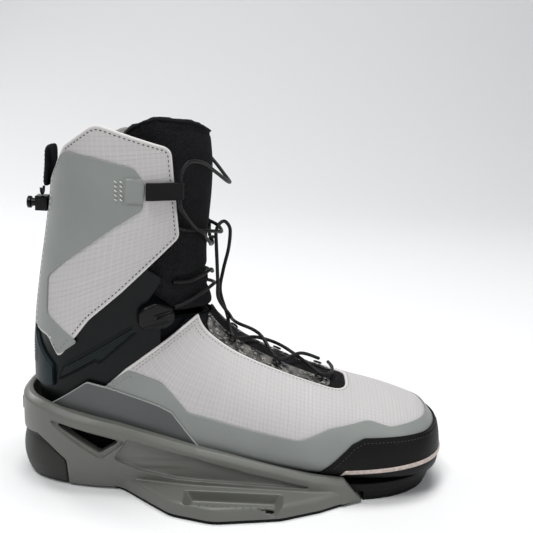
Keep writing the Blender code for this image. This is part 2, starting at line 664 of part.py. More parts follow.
def strap(name, centre_line, low, high, thickness, finish):
    """Webbing that stands on edge: a centre line in plan, thickened and run up from low to high."""
    bm = bmesh.new()
    rows = []
    for x, y in centre_line:
        rows.append((bm.verts.new(Vector((x, y, low)) * MM), bm.verts.new(Vector((x, y, high)) * MM)))
    for (a, b), (c, d) in zip(rows, rows[1:]):
        bm.faces.new((a, c, d, b))
    mesh = bpy.data.meshes.new(name)
    bm.to_mesh(mesh)
    bm.free()
    mesh.materials.append(FINISHES[finish])
    made = bpy.data.objects.new(name, mesh)
    BOOT.objects.link(made)
    wall = made.modifiers.new("wall", "SOLIDIFY")
    wall.thickness = thickness * MM
    wall.offset = 0.0
    return made


# The lace loop's webbing in plan, on the outer side with y counted outwards: it starts at the film's edge,
# runs forward on the fabric, turns round the lace and comes back over itself.
LOOP_LINE = [
    (-69.6, 61.5), (-64.0, 59.9), (-58.0, 57.1), (-52.5, 53.7), (-49.6, 51.1), (-47.4, 49.4), (-45.4, 49.9),
    (-44.5, 51.8), (-45.4, 53.8), (-48.0, 54.6), (-52.8, 56.1), (-58.0, 58.7), (-64.0, 61.6), (-69.6, 63.2),
]
EYE = (-46.9, 51.9)             # middle of the lace loop's eye in plan
LOOP_LOW = 231.5
LOOP_HIGH = 244.0


def build_loops():
    for name, side in (("lateral", -1), ("medial", 1)):
        strap("lace_loop_" + name, [(x, y * side) for x, y in LOOP_LINE], LOOP_LOW, LOOP_HIGH, 1.1, "webbing")


def front_point(y, z, out):
    """A point in front of the tongue, at a place across it and a height."""
    low, high = 12.0, float(LAST_END)
    turn = 0.0
    for _ in range(24):
        middle = (low + high) / 2
        section = between_sections(middle)
        half = min(section[4], TONGUE_HALF_WIDTH)
        turn = math.asin((abs(y) / half) ** (section[6] / 2)) / (2 * math.pi)
        if surface_point(middle, turn, TONGUE_HALF_WIDTH).z < z:
            low = middle
        else:
            high = middle
    return last_point(low, math.copysign(turn, -y), out, TONGUE_HALF_WIDTH)


def instep_point(x, y, out):
    """A point above the instep, at a place along it and across it."""
    low, high = 4.0, 13.0
    turn = 0.0
    for _ in range(24):
        middle = (low + high) / 2
        section = between_sections(middle)
        turn = math.asin((abs(y) / section[4]) ** (section[6] / 2)) / (2 * math.pi)
        if surface_point(middle, turn, 999.0).x > x:
            low = middle
        else:
            high = middle
    return last_point(low, math.copysign(turn, -y), out)


EYELET_ROWS = (-8.0, 28.0, 62.0)
EYELET_HALF = 16.5
LOW_CROSSING = 3.0
HIGH_CROSSING = 6.6
AT_EYELET = 4.3


def strand(side, crossing):
    """One end of the lower lace, from the ankle down to the toe: it crosses over between each two eyelets."""
    points = []
    for index, x in enumerate(EYELET_ROWS):
        side = -side
        points.append(instep_point(x, EYELET_HALF * side, AT_EYELET))
        if index + 1 < len(EYELET_ROWS):
            points.append(instep_point((x + EYELET_ROWS[index + 1]) / 2, 0, crossing))
    return points


def lower_lace():
    """The lower lace: across the toe end, up one side, hooked over the high lace and down the other side."""
    hooked = [
        Vector(point) for point in (
            (-19, 5.5, 150), (-17.5, 6.8, 166), (-13.8, 7.2, 184), (-12.8, 6, 197.5), (-14, 4, 203.6),
            (-17.6, 0.6, 207.4), (-21.4, -2.6, 205.2), (-23.2, -4.4, 199.4), (-22.6, -6.2, 190), (-21.5, -6.6, 175),
            (-20.5, -6.6, 160), (-19.5, -6, 147))
    ]
    first = strand(1, LOW_CROSSING)
    second = strand(-1, HIGH_CROSSING)
    toe_bar = [instep_point(69.5, 12.5, 4.2), instep_point(72, 0, 4.0), instep_point(70, -12, 4.2)]
    up = list(reversed([instep_point(-15, 3, 2.8)] + first))
    down = [instep_point(-15, -3, 5.6)] + second
    return toe_bar + up + hooked + down


def upper_lace():
    """The upper lace: from the knot to the outer loop, over the tongue to the inner loop and back."""
    x, y = EYE
    up = [front_point(8, 187, 1.9), front_point(-3, 190.5, 1.8), front_point(-15, 197, 2.4)]
    up += [front_point(-23, 203, 5.8), front_point(-30, 209, 6.4), Vector((-45.6, -49.6, 224.0)), Vector((x, -y, 232.0)), Vector((x, -y, 243.0))]
    over = [Vector(p) for p in (
        (-46, -51, 251.5), (-41, -45, 258), (-32.5, -32, 256), (-23.5, -15, 247), (-16.5, 0, 239),
        (-14.8, 13, 236.5), (-19.5, 25, 240), (-28.5, 34.5, 249), (-38.5, 42.6, 256.6), (-45.2, 49.8, 252))]
    down = [Vector((x, y, 243.0)), Vector((x, y, 232.0)), Vector((-45.6, 49.6, 224.0)), front_point(30, 209, 6.4)]
    return up + over + down + [front_point(23, 203, 5.8), front_point(16, 197.5, 2.6), front_point(12.5, 193, 1.9)]


def build_laces():
    cord("lace_upper", upper_lace(), per_span=2)
    half = [Vector((-52, 40.6, 208)), Vector((-46, 38.4, 207.5)), front_point(33, 206.5, 1.9)]
    half += [front_point(24, 204.5, 2.0), Vector((-23.7, 13, 202))]
    other_half = [Vector((x, -y, z)) for x, y, z in reversed(half)]
    cord("lace_high", half + [Vector((-19.3, 0, 199.5))] + other_half, per_span=2)
    middle = [front_point(y, z, out) for y, z, out in (
        (-36, 167, 2.2), (-28, 166, 2.2), (-17, 169, 2.2), (-5, 170, 2.4), (4, 166, 2.4), (17, 165, 2.2),
        (28, 165, 2.2), (36, 167, 2.2))]
    cord("lace_middle", middle, per_span=2)
    ankle = [front_point(y, z, out) for y, z, out in (
        (-35, 147.5, 3.2), (-28, 150.5, 2.4), (-18, 155, 2.2), (-6, 158, 3.6), (4, 157, 3.6), (18, 155, 2.2),
        (28, 150.5, 2.4), (35, 147.5, 3.2))]
    cord("lace_ankle", ankle, per_span=2)
    cord("lace_lower", lower_lace(), per_span=2)


def build_eyelets():
    for side_name, side in (("lateral", -1), ("medial", 1)):
        for index, x in enumerate(EYELET_ROWS):
            centre = instep_point(x, EYELET_HALF * side, 1.05)
            under = instep_point(x, EYELET_HALF * side, 0.0)
            normal = (centre - under).normalized()
            bpy.ops.mesh.primitive_torus_add(
                major_segments=12, minor_segments=6, major_radius=2.9 * MM, minor_radius=0.8 * MM,
                location=centre * MM, rotation=normal.to_track_quat("Z", "Y").to_euler(),
            )
            ring = bpy.context.object
            ring.name = f"eyelet_{side_name}_{index + 1}"
            ring.data.materials.append(FINISHES["gloss_plastic"])
            for collection in list(ring.users_collection):
                collection.objects.unlink(ring)
            BOOT.objects.link(ring)


# ---- moving hardware ----------------------------------------------------------------------------------
LOCK_X = -118.0
LOCK_Z = (160.0, 184.0)
LOCK_PIN = (61.2, 176.0)        # y, z of the lace lock's pin
LOCK_FLOOR = 58.0


def rod(name, centre, axis, radius, length, finish, around=14):
    bm = bmesh.new()
    cylinder(bm, centre, axis, radius, length, around)
    return object_from_bmesh(name, bm, finish, BOOT)


def build_lace_lock():
    pin_y, pin_z = LOCK_PIN
    body = box("lace_lock_body", (LOCK_X - 8, 48, LOCK_Z[0]), (LOCK_X + 8, 63.8, LOCK_Z[1]), "gloss_plastic", 0.8)
    boolean(body, last_cutter("cut_lock_last", OVERLAY[0] + GAP))
    boolean(body, box("cut_lock_channel", (LOCK_X - 4.6, LOCK_FLOOR, LOCK_Z[0] - 5), (LOCK_X + 4.6, 80, LOCK_Z[1] + 5)))
    boolean(body, cylinder_cutter("cut_lock_pin", (LOCK_X, pin_y, pin_z), (1, 0, 0), 1.5, 14.0))
    rod("lace_lock_pin", (LOCK_X, pin_y, pin_z), (1, 0, 0), 1.2, 13.4, "steel")
    lever = box("lace_lock_lever", (LOCK_X - 4.2, pin_y - 2, pin_z - 13), (LOCK_X + 4.2, pin_y + 2, pin_z + 2),
                "gloss_plastic", 0.9)
    boolean(lever, cylinder_cutter("cut_lever_pin", (LOCK_X, pin_y, pin_z), (1, 0, 0), 1.25, 20.0))
    hinge_at(lever, (LOCK_X, pin_y, pin_z))


TOGGLE = (-155.6, -9.0, 217.5)
HEEL_TAB = [(-17, 230, 6), (-15, 262, 7), (15, 262, 7), (17, 230, 6)]


def build_heel_tab():
    tab = shell_piece("heel_tab", (7.5, 1.5), "neoprene")
    boolean(tab, prism_cutter("cut_heel_tab", HEEL_TAB, "YZ", -200, -120), "INTERSECT")
    x, y, z = TOGGLE
    top = 229.5
    low = z + 5.5 + GAP + 1.0
    sway = [(x, y - 4.2, top), (x, y - 4.2, low + 4.2), (x, y - 3, low + 1.2), (x, y, low), (x, y + 3, low + 1.2),
            (x, y + 4.2, low + 4.2), (x, y + 4.2, top)]
    cord("toggle_loop", sway, "lace", 2.0, 2)
    body = box("toggle_body", (x - 4.5, y - 5.5, z - 5.5), (x + 4.5, y + 5.5, z + 5.5), "gloss_plastic", 1.2)
    boolean(body, cylinder_cutter("cut_toggle_bore", (x - 2.5, y, z), (1, 0, 0), 3.5, 10.5))
    stem = bmesh.new()
    cylinder(stem, (x - 4.6, y, z), (1, 0, 0), 3.1, 7.0)
    plunger = object_from_bmesh("toggle_plunger", stem, "gloss_plastic", BOOT)
    cap = bmesh.new()
    cylinder(cap, (x - 9.6, y, z), (1, 0, 0), 4.6, 3.4)
    boolean(plunger, object_from_bmesh("toggle_cap", cap), "UNION")
    hinge_at(plunger, TOGGLE)


def build_pull_tab():
    webbing = box("tongue_pull_webbing", (-45.6, -16, 258), (-44.4, 16, 281), "webbing", 0.3)
    tape = box("tongue_pull_tape", (-47.2, -9, 232), (-46.0, 9, 284), "pull_tape", 0.3)
    hinge_at(webbing, TONGUE_AXIS)
    hinge_at(tape, TONGUE_AXIS)


def build_guides():
    outline = [(-73, 133, 5), (-73, 150, 6), (-60, 154, 6), (-51, 146, 5), (-52, 133, 5)]
    for name, side in (("lateral", -1), ("medial", 1)):
        piece = panel("ankle_guide_" + name, (3.6, 0.45), "gloss_plastic", outline, side)
        boolean(piece, cylinder_cutter(f"cut_guide_{name}", (-62, side * 40, 143), (0, 1, 0), 2.6, 80, 12))


build_upper()
build_inside()
build_eyestays()
build_outsole()
build_chassis()
build_screws()
build_loops()
build_guides()
build_laces()
build_eyelets()
build_lace_lock()
build_heel_tab()
build_pull_tab()
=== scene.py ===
"""Looks of the wakeboard boot: the upper's panels, padding, seams and laces, the chassis and the sole.

Sizes are in millimetres here and become metres when a mesh is made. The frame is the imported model's: its
origin is midway between the two board slots on the underside, +X points to the toe, +Y to the inner side of
the foot and +Z up.
"""

import math

import bmesh
import bpy
import numpy as np
from mathutils import Matrix, Vector
from mathutils.bvhtree import BVHTree
from mathutils.geometry import interpolate_bezier


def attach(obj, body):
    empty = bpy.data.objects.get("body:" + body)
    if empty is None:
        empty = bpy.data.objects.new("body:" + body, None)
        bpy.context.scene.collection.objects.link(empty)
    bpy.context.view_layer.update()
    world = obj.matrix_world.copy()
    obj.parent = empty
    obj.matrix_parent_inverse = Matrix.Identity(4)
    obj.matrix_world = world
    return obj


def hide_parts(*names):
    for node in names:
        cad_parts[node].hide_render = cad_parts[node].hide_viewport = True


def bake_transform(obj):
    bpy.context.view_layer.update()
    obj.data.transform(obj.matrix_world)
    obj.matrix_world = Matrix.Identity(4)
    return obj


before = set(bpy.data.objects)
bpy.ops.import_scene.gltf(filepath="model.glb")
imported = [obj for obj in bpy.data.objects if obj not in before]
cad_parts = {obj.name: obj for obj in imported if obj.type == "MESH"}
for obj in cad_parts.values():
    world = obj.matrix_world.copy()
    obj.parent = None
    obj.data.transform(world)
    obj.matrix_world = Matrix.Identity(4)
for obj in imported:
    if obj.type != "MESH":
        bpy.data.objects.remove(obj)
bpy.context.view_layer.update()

MM = 0.001
FORWARD, UP = (1, 0, 0), (0, 0, 1)

# ---- the last: the form that the upper is built on ----------------------------------------------------
# sole or heel point x, z; instep point x, z; half width; share of the height where the ring is widest;
# roundness of the instep side; roundness of the sole or heel side (2 is an ellipse, 4 is nearly square)
LAST = np.array([
    (160.0, 30.0, 160.0, 40.0, 6.0, 0.50, 2.0, 2.0),
    (158.5, 20.5, 158.5, 49.5, 19.0, 0.45, 2.0, 2.6),
    (154.0, 17.0, 154.0, 57.0, 30.0, 0.42, 2.1, 3.0),
    (145.0, 16.0, 145.0, 66.0, 40.0, 0.40, 2.2, 3.2),
    (131.0, 16.0, 131.0, 71.0, 47.5, 0.38, 2.3, 3.2),
    (112.0, 16.0, 112.0, 77.0, 52.5, 0.37, 2.2, 3.2),
    (88.0, 16.0, 88.0, 83.5, 55.0, 0.35, 2.1, 3.0),
    (62.0, 16.0, 62.0, 91.0, 55.0, 0.34, 2.0, 2.9),
    (35.0, 16.0, 36.0, 100.0, 53.0, 0.34, 1.95, 2.8),
    (8.0, 16.0, 14.0, 110.0, 50.0, 0.34, 1.9, 2.8),
    (-20.0, 16.0, -3.0, 120.0, 47.0, 0.34, 1.9, 2.8),
    (-55.0, 16.0, -14.0, 129.5, 46.0, 0.35, 1.9, 2.8),
    (-95.0, 16.0, -21.0, 138.0, 46.0, 0.38, 1.9, 2.8),
    (-130.0, 18.0, -25.0, 147.0, 46.5, 0.42, 1.95, 2.7),
    (-152.0, 36.0, -27.0, 156.0, 48.0, 0.46, 2.0, 2.5),
    (-161.0, 66.0, -28.0, 167.0, 50.5, 0.48, 2.0, 2.4),
    (-162.5, 98.0, -29.0, 180.0, 53.0, 0.50, 2.05, 2.3),
    (-161.0, 132.0, -29.0, 195.0, 55.5, 0.50, 2.1, 2.3),
    (-157.0, 166.0, -28.0, 212.0, 58.0, 0.50, 2.1, 2.3),
    (-152.0, 200.0, -27.0, 231.0, 60.5, 0.50, 2.1, 2.3),
    (-148.0, 232.0, -27.0, 250.0, 62.5, 0.50, 2.1, 2.3),
    (-147.0, 262.0, -29.0, 270.0, 64.0, 0.50, 2.1, 2.3),
    (-149.0, 292.0, -33.0, 292.0, 65.0, 0.50, 2.1, 2.3),
])
LAST_END = len(LAST) - 1
TOE_BEND_START = 20.0           # forward of this the last bends towards the big toe
TOE_BEND = 6.0
TOE_BEND_LENGTH = 140.0
NO_LIMIT = 999.0


def sections(t):
    """The section at each t, by a Catmull-Rom curve through the sections of LAST."""
    t = np.clip(t, 0, LAST_END)
    index = np.minimum(t.astype(int), LAST_END - 1)
    u = (t - index)[..., None]
    a = LAST[np.maximum(index - 1, 0)]
    b = LAST[index]
    c = LAST[index + 1]
    d = LAST[np.minimum(index + 2, LAST_END)]
    return 0.5 * (2 * b + (c - a) * u + (2 * a - 5 * b + 4 * c - d) * u**2 + (3 * b - a - 3 * c + d) * u**3)


def toe_bend(x):
    return TOE_BEND * (np.maximum(x - TOE_BEND_START, 0.0) / TOE_BEND_LENGTH) ** 1.5


def bare_last(t, turn, limit):
    section = sections(t)
    sole_x, sole_z, top_x, top_z, half, widest, top_round, sole_round = (section[..., i] for i in range(8))
    half = np.minimum(half, limit)
    across = np.sin(2 * np.pi * turn)
    up = np.cos(2 * np.pi * turn)
    power = 2 / np.where(up >= 0, top_round, sole_round)
    reach = np.where(up >= 0, 1 - widest, widest)
    share = widest + reach * np.sign(up) * np.abs(up) ** power
    x = sole_x + (top_x - sole_x) * share
    z = sole_z + (top_z - sole_z) * share
    y = -half * np.sign(across) * np.abs(across) ** power
    return np.stack([x, y + toe_bend(x), z], -1)


def on_last(t, turn, offset=0.0, limit=NO_LIMIT):
    """Points at an offset from the last, and the surface's normals there. turn is 0 along the instep,
    positive round the outer side and half a turn along the sole and the heel."""
    t, turn = np.broadcast_arrays(np.asarray(t, float), np.asarray(turn, float))
    low = np.clip(t - 0.02, 0.0, LAST_END - 0.04)
    along = bare_last(low + 0.04, turn, limit) - bare_last(low, turn, limit)
    around = bare_last(t, turn + 0.004, limit) - bare_last(t, turn - 0.004, limit)
    normal = np.cross(along, around)
    normal /= np.linalg.norm(normal, axis=-1, keepdims=True)
    return bare_last(t, turn, limit) + normal * np.asarray(offset)[..., None], normal


def toe_to_top(t):
    """The way along the upper from the toe, by t, in millimetres."""
    return np.interp(t, STATIONS, STATION_WAY)


def way_along(points):
    """The way from the first point of a line to each of its points."""
    return np.concatenate([[0.0], np.cumsum(np.linalg.norm(np.diff(points, axis=0), axis=1))])


def at_way(at, way, points):
    """Points at given ways along a line."""
    return np.stack([np.interp(at, way, points[:, i]) for i in range(3)], -1)


STATIONS = np.linspace(0, LAST_END, 221)
STATION_WAY = way_along(bare_last(STATIONS, np.full(221, 0.2), NO_LIMIT))
GIRTH = 330.0                   # about the way round the upper


def unit(values):
    return np.clip(values, 0, 1)


# ---- outlines -----------------------------------------------------------------------------------------
def rounded(corners, steps=7):
    """An outline from corners (a, b, radius), with an arc in each corner that has a radius."""
    outline = []
    count = len(corners)
    for index, (a, b, radius) in enumerate(corners):
        corner = Vector((a, b))
        if radius == 0:
            outline.append(corner)
            continue
        before = Vector(corners[index - 1][:2]) - corner
        after = Vector(corners[(index + 1) % count][:2]) - corner
        cut = min(radius / math.tan(before.angle(after) / 2), before.length * 0.48, after.length * 0.48)
        start = corner + before.normalized() * cut
        end = corner + after.normalized() * cut
        for step in range(steps + 1):
            u = step / steps
            outline.append(start * (1 - u) ** 2 + corner * 2 * u * (1 - u) + end * u**2)
    return np.array(outline)


def mirrored(half):
    """A rounded outline from its corners on one side, and their mirror image."""
    return rounded(half + [(-a, b, radius) for a, b, radius in reversed(half)])


PLANES = {"XZ": (0, 2), "XY": (0, 1), "YZ": (1, 2)}


def depth_inside(points, outline, plane="XZ"):
    """How far each point lies inside an outline seen along one axis; negative outside."""
    first, second = PLANES[plane]
    px, py = points[..., first], points[..., second]
    nearest = np.full(px.shape, 1e12)
    inside = np.zeros(px.shape, bool)
    for (ax, ay), (bx, by) in zip(outline, np.roll(outline, -1, axis=0)):
        ex, ey = bx - ax, by - ay
        length = ex * ex + ey * ey
        if length < 1e-12:
            continue
        along = unit(((px - ax) * ex + (py - ay) * ey) / length)
        nearest = np.minimum(nearest, (px - ax - along * ex) ** 2 + (py - ay - along * ey) ** 2)
        if ay != by:
            crosses = ((ay > py) != (by > py)) & (px < (py - ay) * ex / ey + ax)
            inside ^= crosses
    return np.where(inside, 1.0, -1.0) * np.sqrt(nearest)


def shape(corners, plane="XZ"):
    """A test that gives the depth of points inside rounded corners."""
    outline = rounded(corners)
    return lambda points: depth_inside(points, outline, plane)


def one_side(side, edge=1.0):
    """A test that keeps one side of the middle plane: -1 outer, +1 inner."""
    return lambda points: points[..., 1] * side - edge


def common(*tests):
    return lambda points: np.min([test(points) for test in tests], axis=0)


def without(test, hole, gap=0.0):
    return lambda points: np.minimum(test(points), -hole(points) - gap)


# ---- meshes of the upper ------------------------------------------------------------------------------
class Grid:
    """A fine net over part of the last: rings from t low to high, and points from one turn to another."""

    def __init__(self, t_span, turn_span, rings, around, offset=0.0, limit=NO_LIMIT):
        self.limit = limit
        self.offset = offset
        self.closed = turn_span[1] - turn_span[0] == 1.0
        t = np.linspace(*t_span, rings)
        turn = np.linspace(*turn_span, around)
        self.t, self.turn = np.meshgrid(t, turn, indexing="ij")
        self.points = on_last(self.t, self.turn, offset, limit)[0]

    def cut(self, depth, levels=()):
        """A mesh in (t, turn, depth) space: what lies at a depth over 0, with edges along each level."""
        rings, around = self.t.shape
        corner = np.arange(rings * around).reshape(rings, around)
        quads = np.stack([corner[:-1, :-1], corner[:-1, 1:], corner[1:, 1:], corner[1:, :-1]], -1)
        quads = quads.reshape(-1, 4)
        flat = depth.ravel()
        quads = quads[(flat[quads] > 0).any(axis=1)]
        used, quads = np.unique(quads, return_inverse=True)
        quads = quads.reshape(-1, 4)
        verts = np.stack([self.t.ravel()[used], self.turn.ravel()[used] * TURN_SCALE, flat[used]], -1)
        mesh = bpy.data.meshes.new("cut")
        mesh.from_pydata(verts.tolist(), [], quads.tolist())
        bm = bmesh.new()
        bm.from_mesh(mesh)
        bpy.data.meshes.remove(mesh)
        for level in (0, *levels):
            bmesh.ops.bisect_plane(bm, geom=bm.verts[:] + bm.edges[:] + bm.faces[:], plane_co=(0, 0, level),
                                   plane_no=(0, 0, 1), dist=1e-5, clear_inner=level == 0)
        if self.closed:
            ends = []
            for turn in self.turn[0, [0, -1]]:
                row = [vert for vert in bm.verts if abs(vert.co.y - turn * TURN_SCALE) < 1e-4]
                ends.append({(round(vert.co.x, 3), round(vert.co.z, 2)): vert for vert in row})
            same = {vert: ends[0][place] for place, vert in ends[1].items() if place in ends[0]}
            bmesh.ops.weld_verts(bm, targetmap=same)
        return bm


TURN_SCALE = 10.0               # brings turns to about the size of t in the cut's own space


def rim_profile(depth, radius):
    """A share of the thickness by depth from the edge: a quarter round of the given radius."""
    inward = unit(1 - depth / radius)
    return np.sqrt(np.maximum(1 - inward**2, 0.0)) * 0.85 + 0.15


def linked(name, data):
    """A new object in the scene."""
    made = bpy.data.objects.new(name, data)
    bpy.context.scene.collection.objects.link(made)
    return made


def smoothed(mesh, sharp):
    """Smooth shading, but for edges sharper than an angle in degrees."""
    mesh.shade_smooth()
    mesh.set_sharp_from_angle(angle=math.radians(sharp))


def turned_outward(mesh, sharp):
    fix = bmesh.new()
    fix.from_mesh(mesh)
    bmesh.ops.recalc_face_normals(fix, faces=fix.faces)
    fix.to_mesh(mesh)
    fix.free()
    smoothed(mesh, sharp)


def ring_faces(rows, count, flip=False):
    """The faces of a body made of rings of points, with both ends capped. flip turns the caps over."""
    caps = [list(range(count)), list(range((rows - 1) * count, rows * count))]
    faces = [caps[0], caps[1][::-1]] if flip else [caps[0][::-1], caps[1]]
    for row in range(rows - 1):
        for step in range(count):
            base, after = row * count, (step + 1) % count
            faces.append([base + step, base + after, base + after + count, base + step + count])
    return faces


def stand_in(node):
    """The piece stands for a CAD node, whose own mesh is hidden."""
    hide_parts(node)


def new_object(name, mesh, body, *materials):
    made = linked(name, mesh)
    for item in materials:
        mesh.materials.append(item)
    if body:
        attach(made, body)
    return made


PANEL_SHARP = 50


def panel(name, grid, test, layer, materials, radius=0.6, relief=None, edge=0.0, body="boot", levels=()):
    """One panel of the upper: a closed skin with rounded edges. edge is the width of its edge strip, which
    takes the second material. relief adds to the outer face's height."""
    outer, inner = layer
    depth = test(grid.points)
    steps = sorted({radius * 0.12, radius * 0.45, radius, edge, *levels} - {0.0})
    bm = grid.cut(depth, steps)
    bm.verts.ensure_lookup_table()
    bm.verts.index_update()
    co = np.array([vert.co for vert in bm.verts])
    t, turn, deep = co[:, 0], co[:, 1] / TURN_SCALE, co[:, 2]
    thick = (outer - inner) * rim_profile(deep, radius)
    base = on_last(t, turn, outer, grid.limit)[0]
    if relief is not None:
        thick = thick + relief(base, deep)
    top = on_last(t, turn, inner + thick, grid.limit)[0] * MM
    low = on_last(t, turn, inner, grid.limit)[0] * MM
    count = len(co)
    faces = [[vert.index for vert in face.verts] for face in bm.faces]
    in_edge = [edge and max(deep[face]) <= edge + 1e-4 for face in faces]
    rim = []
    for side in bm.edges:
        if len(side.link_faces) == 1:
            loop = side.link_loops[0]
            a, b = loop.vert.index, loop.link_loop_next.vert.index
            rim.append([b, a, a + count, b + count])
    bm.free()
    mesh = bpy.data.meshes.new(name)
    polygons = faces + [[index + count for index in reversed(face)] for face in faces] + rim
    mesh.from_pydata(np.vstack([top, low]).tolist(), [], polygons)
    slots = [1 if strip else 0 for strip in in_edge] * 2 + [1 if edge else 0] * len(rim)
    mesh.polygons.foreach_set("material_index", slots)
    weave = mesh.uv_layers.new(name="weave")
    places = np.stack([turn * GIRTH * MM, toe_to_top(t) * MM], -1)
    places = np.vstack([places, places])
    corner_verts = np.zeros(len(mesh.loops), np.int32)
    mesh.loops.foreach_get("vertex_index", corner_verts)
    weave.data.foreach_set("uv", places[corner_verts].ravel())
    turned_outward(mesh, PANEL_SHARP)
    return new_object(name, mesh, body, *materials)


def contour(grid, depth, level):
    """The lines on the grid at one depth, each as arrays of t and turn."""
    bm = grid.cut(depth - level)
    on_line = {vert for vert in bm.verts if abs(vert.co.z) < 1e-4}
    edges = [e for e in bm.edges if e.verts[0] in on_line and e.verts[1] in on_line]
    links = {}
    for side in edges:
        a, b = side.verts
        links.setdefault(a, []).append(b)
        links.setdefault(b, []).append(a)
    lines = []
    seen = set()
    for start in sorted(links, key=lambda v: (len(links[v]), v.index)):
        if start in seen:
            continue
        line = [start]
        seen.add(start)
        while True:
            ahead = [v for v in links[line[-1]] if v not in seen]
            if not ahead:
                break
            line.append(ahead[0])
            seen.add(ahead[0])
        if len(line) > 3:
            if start in links[line[-1]]:
                line.append(start)
            lines.append(np.array([[v.co.x, v.co.y / TURN_SCALE] for v in line]))
    bm.free()
    return lines


NEARBY = 0.4                    # how far ahead and behind a line's direction is taken


def spaced(points, spacing):
    """Places along a line of points, evenly spaced: the points and the directions there."""
    way = way_along(points)
    count = max(int(way[-1] / spacing), 1)
    at = (np.arange(count) + 0.5) * way[-1] / count
    place = at_way(at, way, points)
    direction = (at_way(np.minimum(at + NEARBY, way[-1]), way, points)
                 - at_way(np.maximum(at - NEARBY, 0), way, points))
    direction /= np.linalg.norm(direction, axis=1, keepdims=True) + 1e-9
    return place, direction, at


def stitch_shape(length, width, around=6, rings=4):
    """A short thread, round in section and tucked in at its ends, along +X."""
    verts = [(-length / 2, 0.0, -width * 0.35)]
    for ring in range(rings):
        u = (ring + 1) / (rings + 1)
        swell = math.sin(math.pi * u) ** 0.6
        for step in range(around):
            angle = 2 * math.pi * step / around
            verts.append((
                (u - 0.5) * length, math.cos(angle) * width / 2 * swell,
                math.sin(angle) * width / 2 * swell - width * 0.35 * (1 - swell),
            ))
    verts.append((length / 2, 0.0, -width * 0.35))
    last = len(verts) - 1
    faces = []
    for step in range(around):
        after = (step + 1) % around
        faces.append((0, 1 + after, 1 + step))
        for ring in range(rings - 1):
            base = 1 + ring * around
            faces.append((base + step, base + after, base + after + around, base + step + around))
        faces.append((1 + (rings - 1) * around + step, 1 + (rings - 1) * around + after, last))
    return np.array(verts), faces


def stitches(name, runs, finish, length, width, spacing, slant=0.0, body="boot"):
    """Stitches along runs of (points, normals) on a surface, joined as one piece."""
    form, form_faces = stitch_shape(length, width)
    verts = []
    faces = []
    for points, normals in runs:
        if len(points) < 2:
            continue
        place, direction, at = spaced(points, spacing)
        up = at_way(at, way_along(points), normals)
        up /= np.linalg.norm(up, axis=1, keepdims=True)
        side = np.cross(up, direction)
        ahead = direction * math.cos(slant) + side * math.sin(slant)
        side = np.cross(up, ahead)
        for centre, x, y, z in zip(place, ahead, side, up):
            base = len(verts)
            verts.extend((centre + form @ np.stack([x, y, z])) * MM)
            faces.extend([[base + index for index in face] for face in form_faces])
    mesh = bpy.data.meshes.new(name)
    mesh.from_pydata([tuple(v) for v in verts], [], faces)
    mesh.shade_smooth()
    return new_object(name, mesh, body, finish)


def seam_runs(grid, test, level, offset, keep):
    """Lines at one depth inside a panel, as points and normals for stitches. keep picks the points."""
    runs = []
    for line in contour(grid, test(grid.points), level):
        points, normals = on_last(line[:, 0], line[:, 1], offset, grid.limit)
        start = None
        for index, good in enumerate(list(keep(points)) + [False]):
            if good and start is None:
                start = index
            if not good and start is not None:
                if index - start > 3:
                    runs.append((points[start:index], normals[start:index]))
                start = None
    return runs


def tube(name, points, diameter, finish, body="boot", around=12):
    """A closed tube along points in millimetres, with its length and turn as texture places."""
    points = np.array(points, float)
    tangent = np.gradient(points, axis=0)
    tangent /= np.linalg.norm(tangent, axis=1, keepdims=True)
    across = np.array((0.31, 0.22, 0.92))
    normals = []
    for direction in tangent:
        across = across - direction * np.dot(across, direction)
        across /= np.linalg.norm(across)
        normals.append(across.copy())
    normals = np.array(normals)
    side = np.cross(tangent, normals)
    angles = 2 * np.pi * np.arange(around) / around
    ring = normals[:, None] * np.sin(angles)[None, :, None] + side[:, None] * np.cos(angles)[None, :, None]
    verts = (points[:, None] + ring * (diameter / 2)).reshape(-1, 3)
    count = len(points)
    way = way_along(points) * MM
    faces, places = [], []
    for row in range(count - 1):
        for step in range(around):
            after = (step + 1) % around
            faces.append((row * around + step, (row + 1) * around + step, (row + 1) * around + after,
                          row * around + after))
            low, high = step / around, (step + 1) / around
            places += [(way[row], low), (way[row + 1], low), (way[row + 1], high), (way[row], high)]
    for row, order in ((0, 1), (count - 1, -1)):
        cap = [row * around + step for step in range(around)][::order]
        faces.append(cap)
        places += [(way[row], 0.5)] * around
    mesh = bpy.data.meshes.new(name)
    mesh.from_pydata((verts * MM).tolist(), [], faces)
    layer = mesh.uv_layers.new(name="weave")
    layer.data.foreach_set("uv", np.array(places).ravel())
    turned_outward(mesh, 70)
    return new_object(name, mesh, body, finish)


# ---- moulded pieces -----------------------------------------------------------------------------------
def prism(outline, plane, low, high):
    """A closed prism on an outline, between two places on the third axis."""
    first, second = PLANES[plane]
    third = 3 - first - second

    verts = np.zeros((2, len(outline), 3))
    verts[:, :, [first, second]] = np.array(outline)
    verts[0, :, third], verts[1, :, third] = low, high
    return solid(verts.reshape(-1, 3), ring_faces(2, len(outline), True))


def solid(verts, faces):
    """A closed object from points in millimetres."""
    mesh = bpy.data.meshes.new("solid")
    mesh.from_pydata((np.array(verts) * MM).tolist(), [], faces)
    bm = bmesh.new()
    bm.from_mesh(mesh)
    bmesh.ops.recalc_face_normals(bm, faces=bm.faces)
    bmesh.ops.triangulate(bm, faces=bm.faces)
    bm.to_mesh(mesh)
    bm.free()
    return linked("solid", mesh)


def block(low, high):
    outline = [(low[0], low[1]), (high[0], low[1]), (high[0], high[1]), (low[0], high[1])]
    return prism(outline, "XY", low[2], high[2])


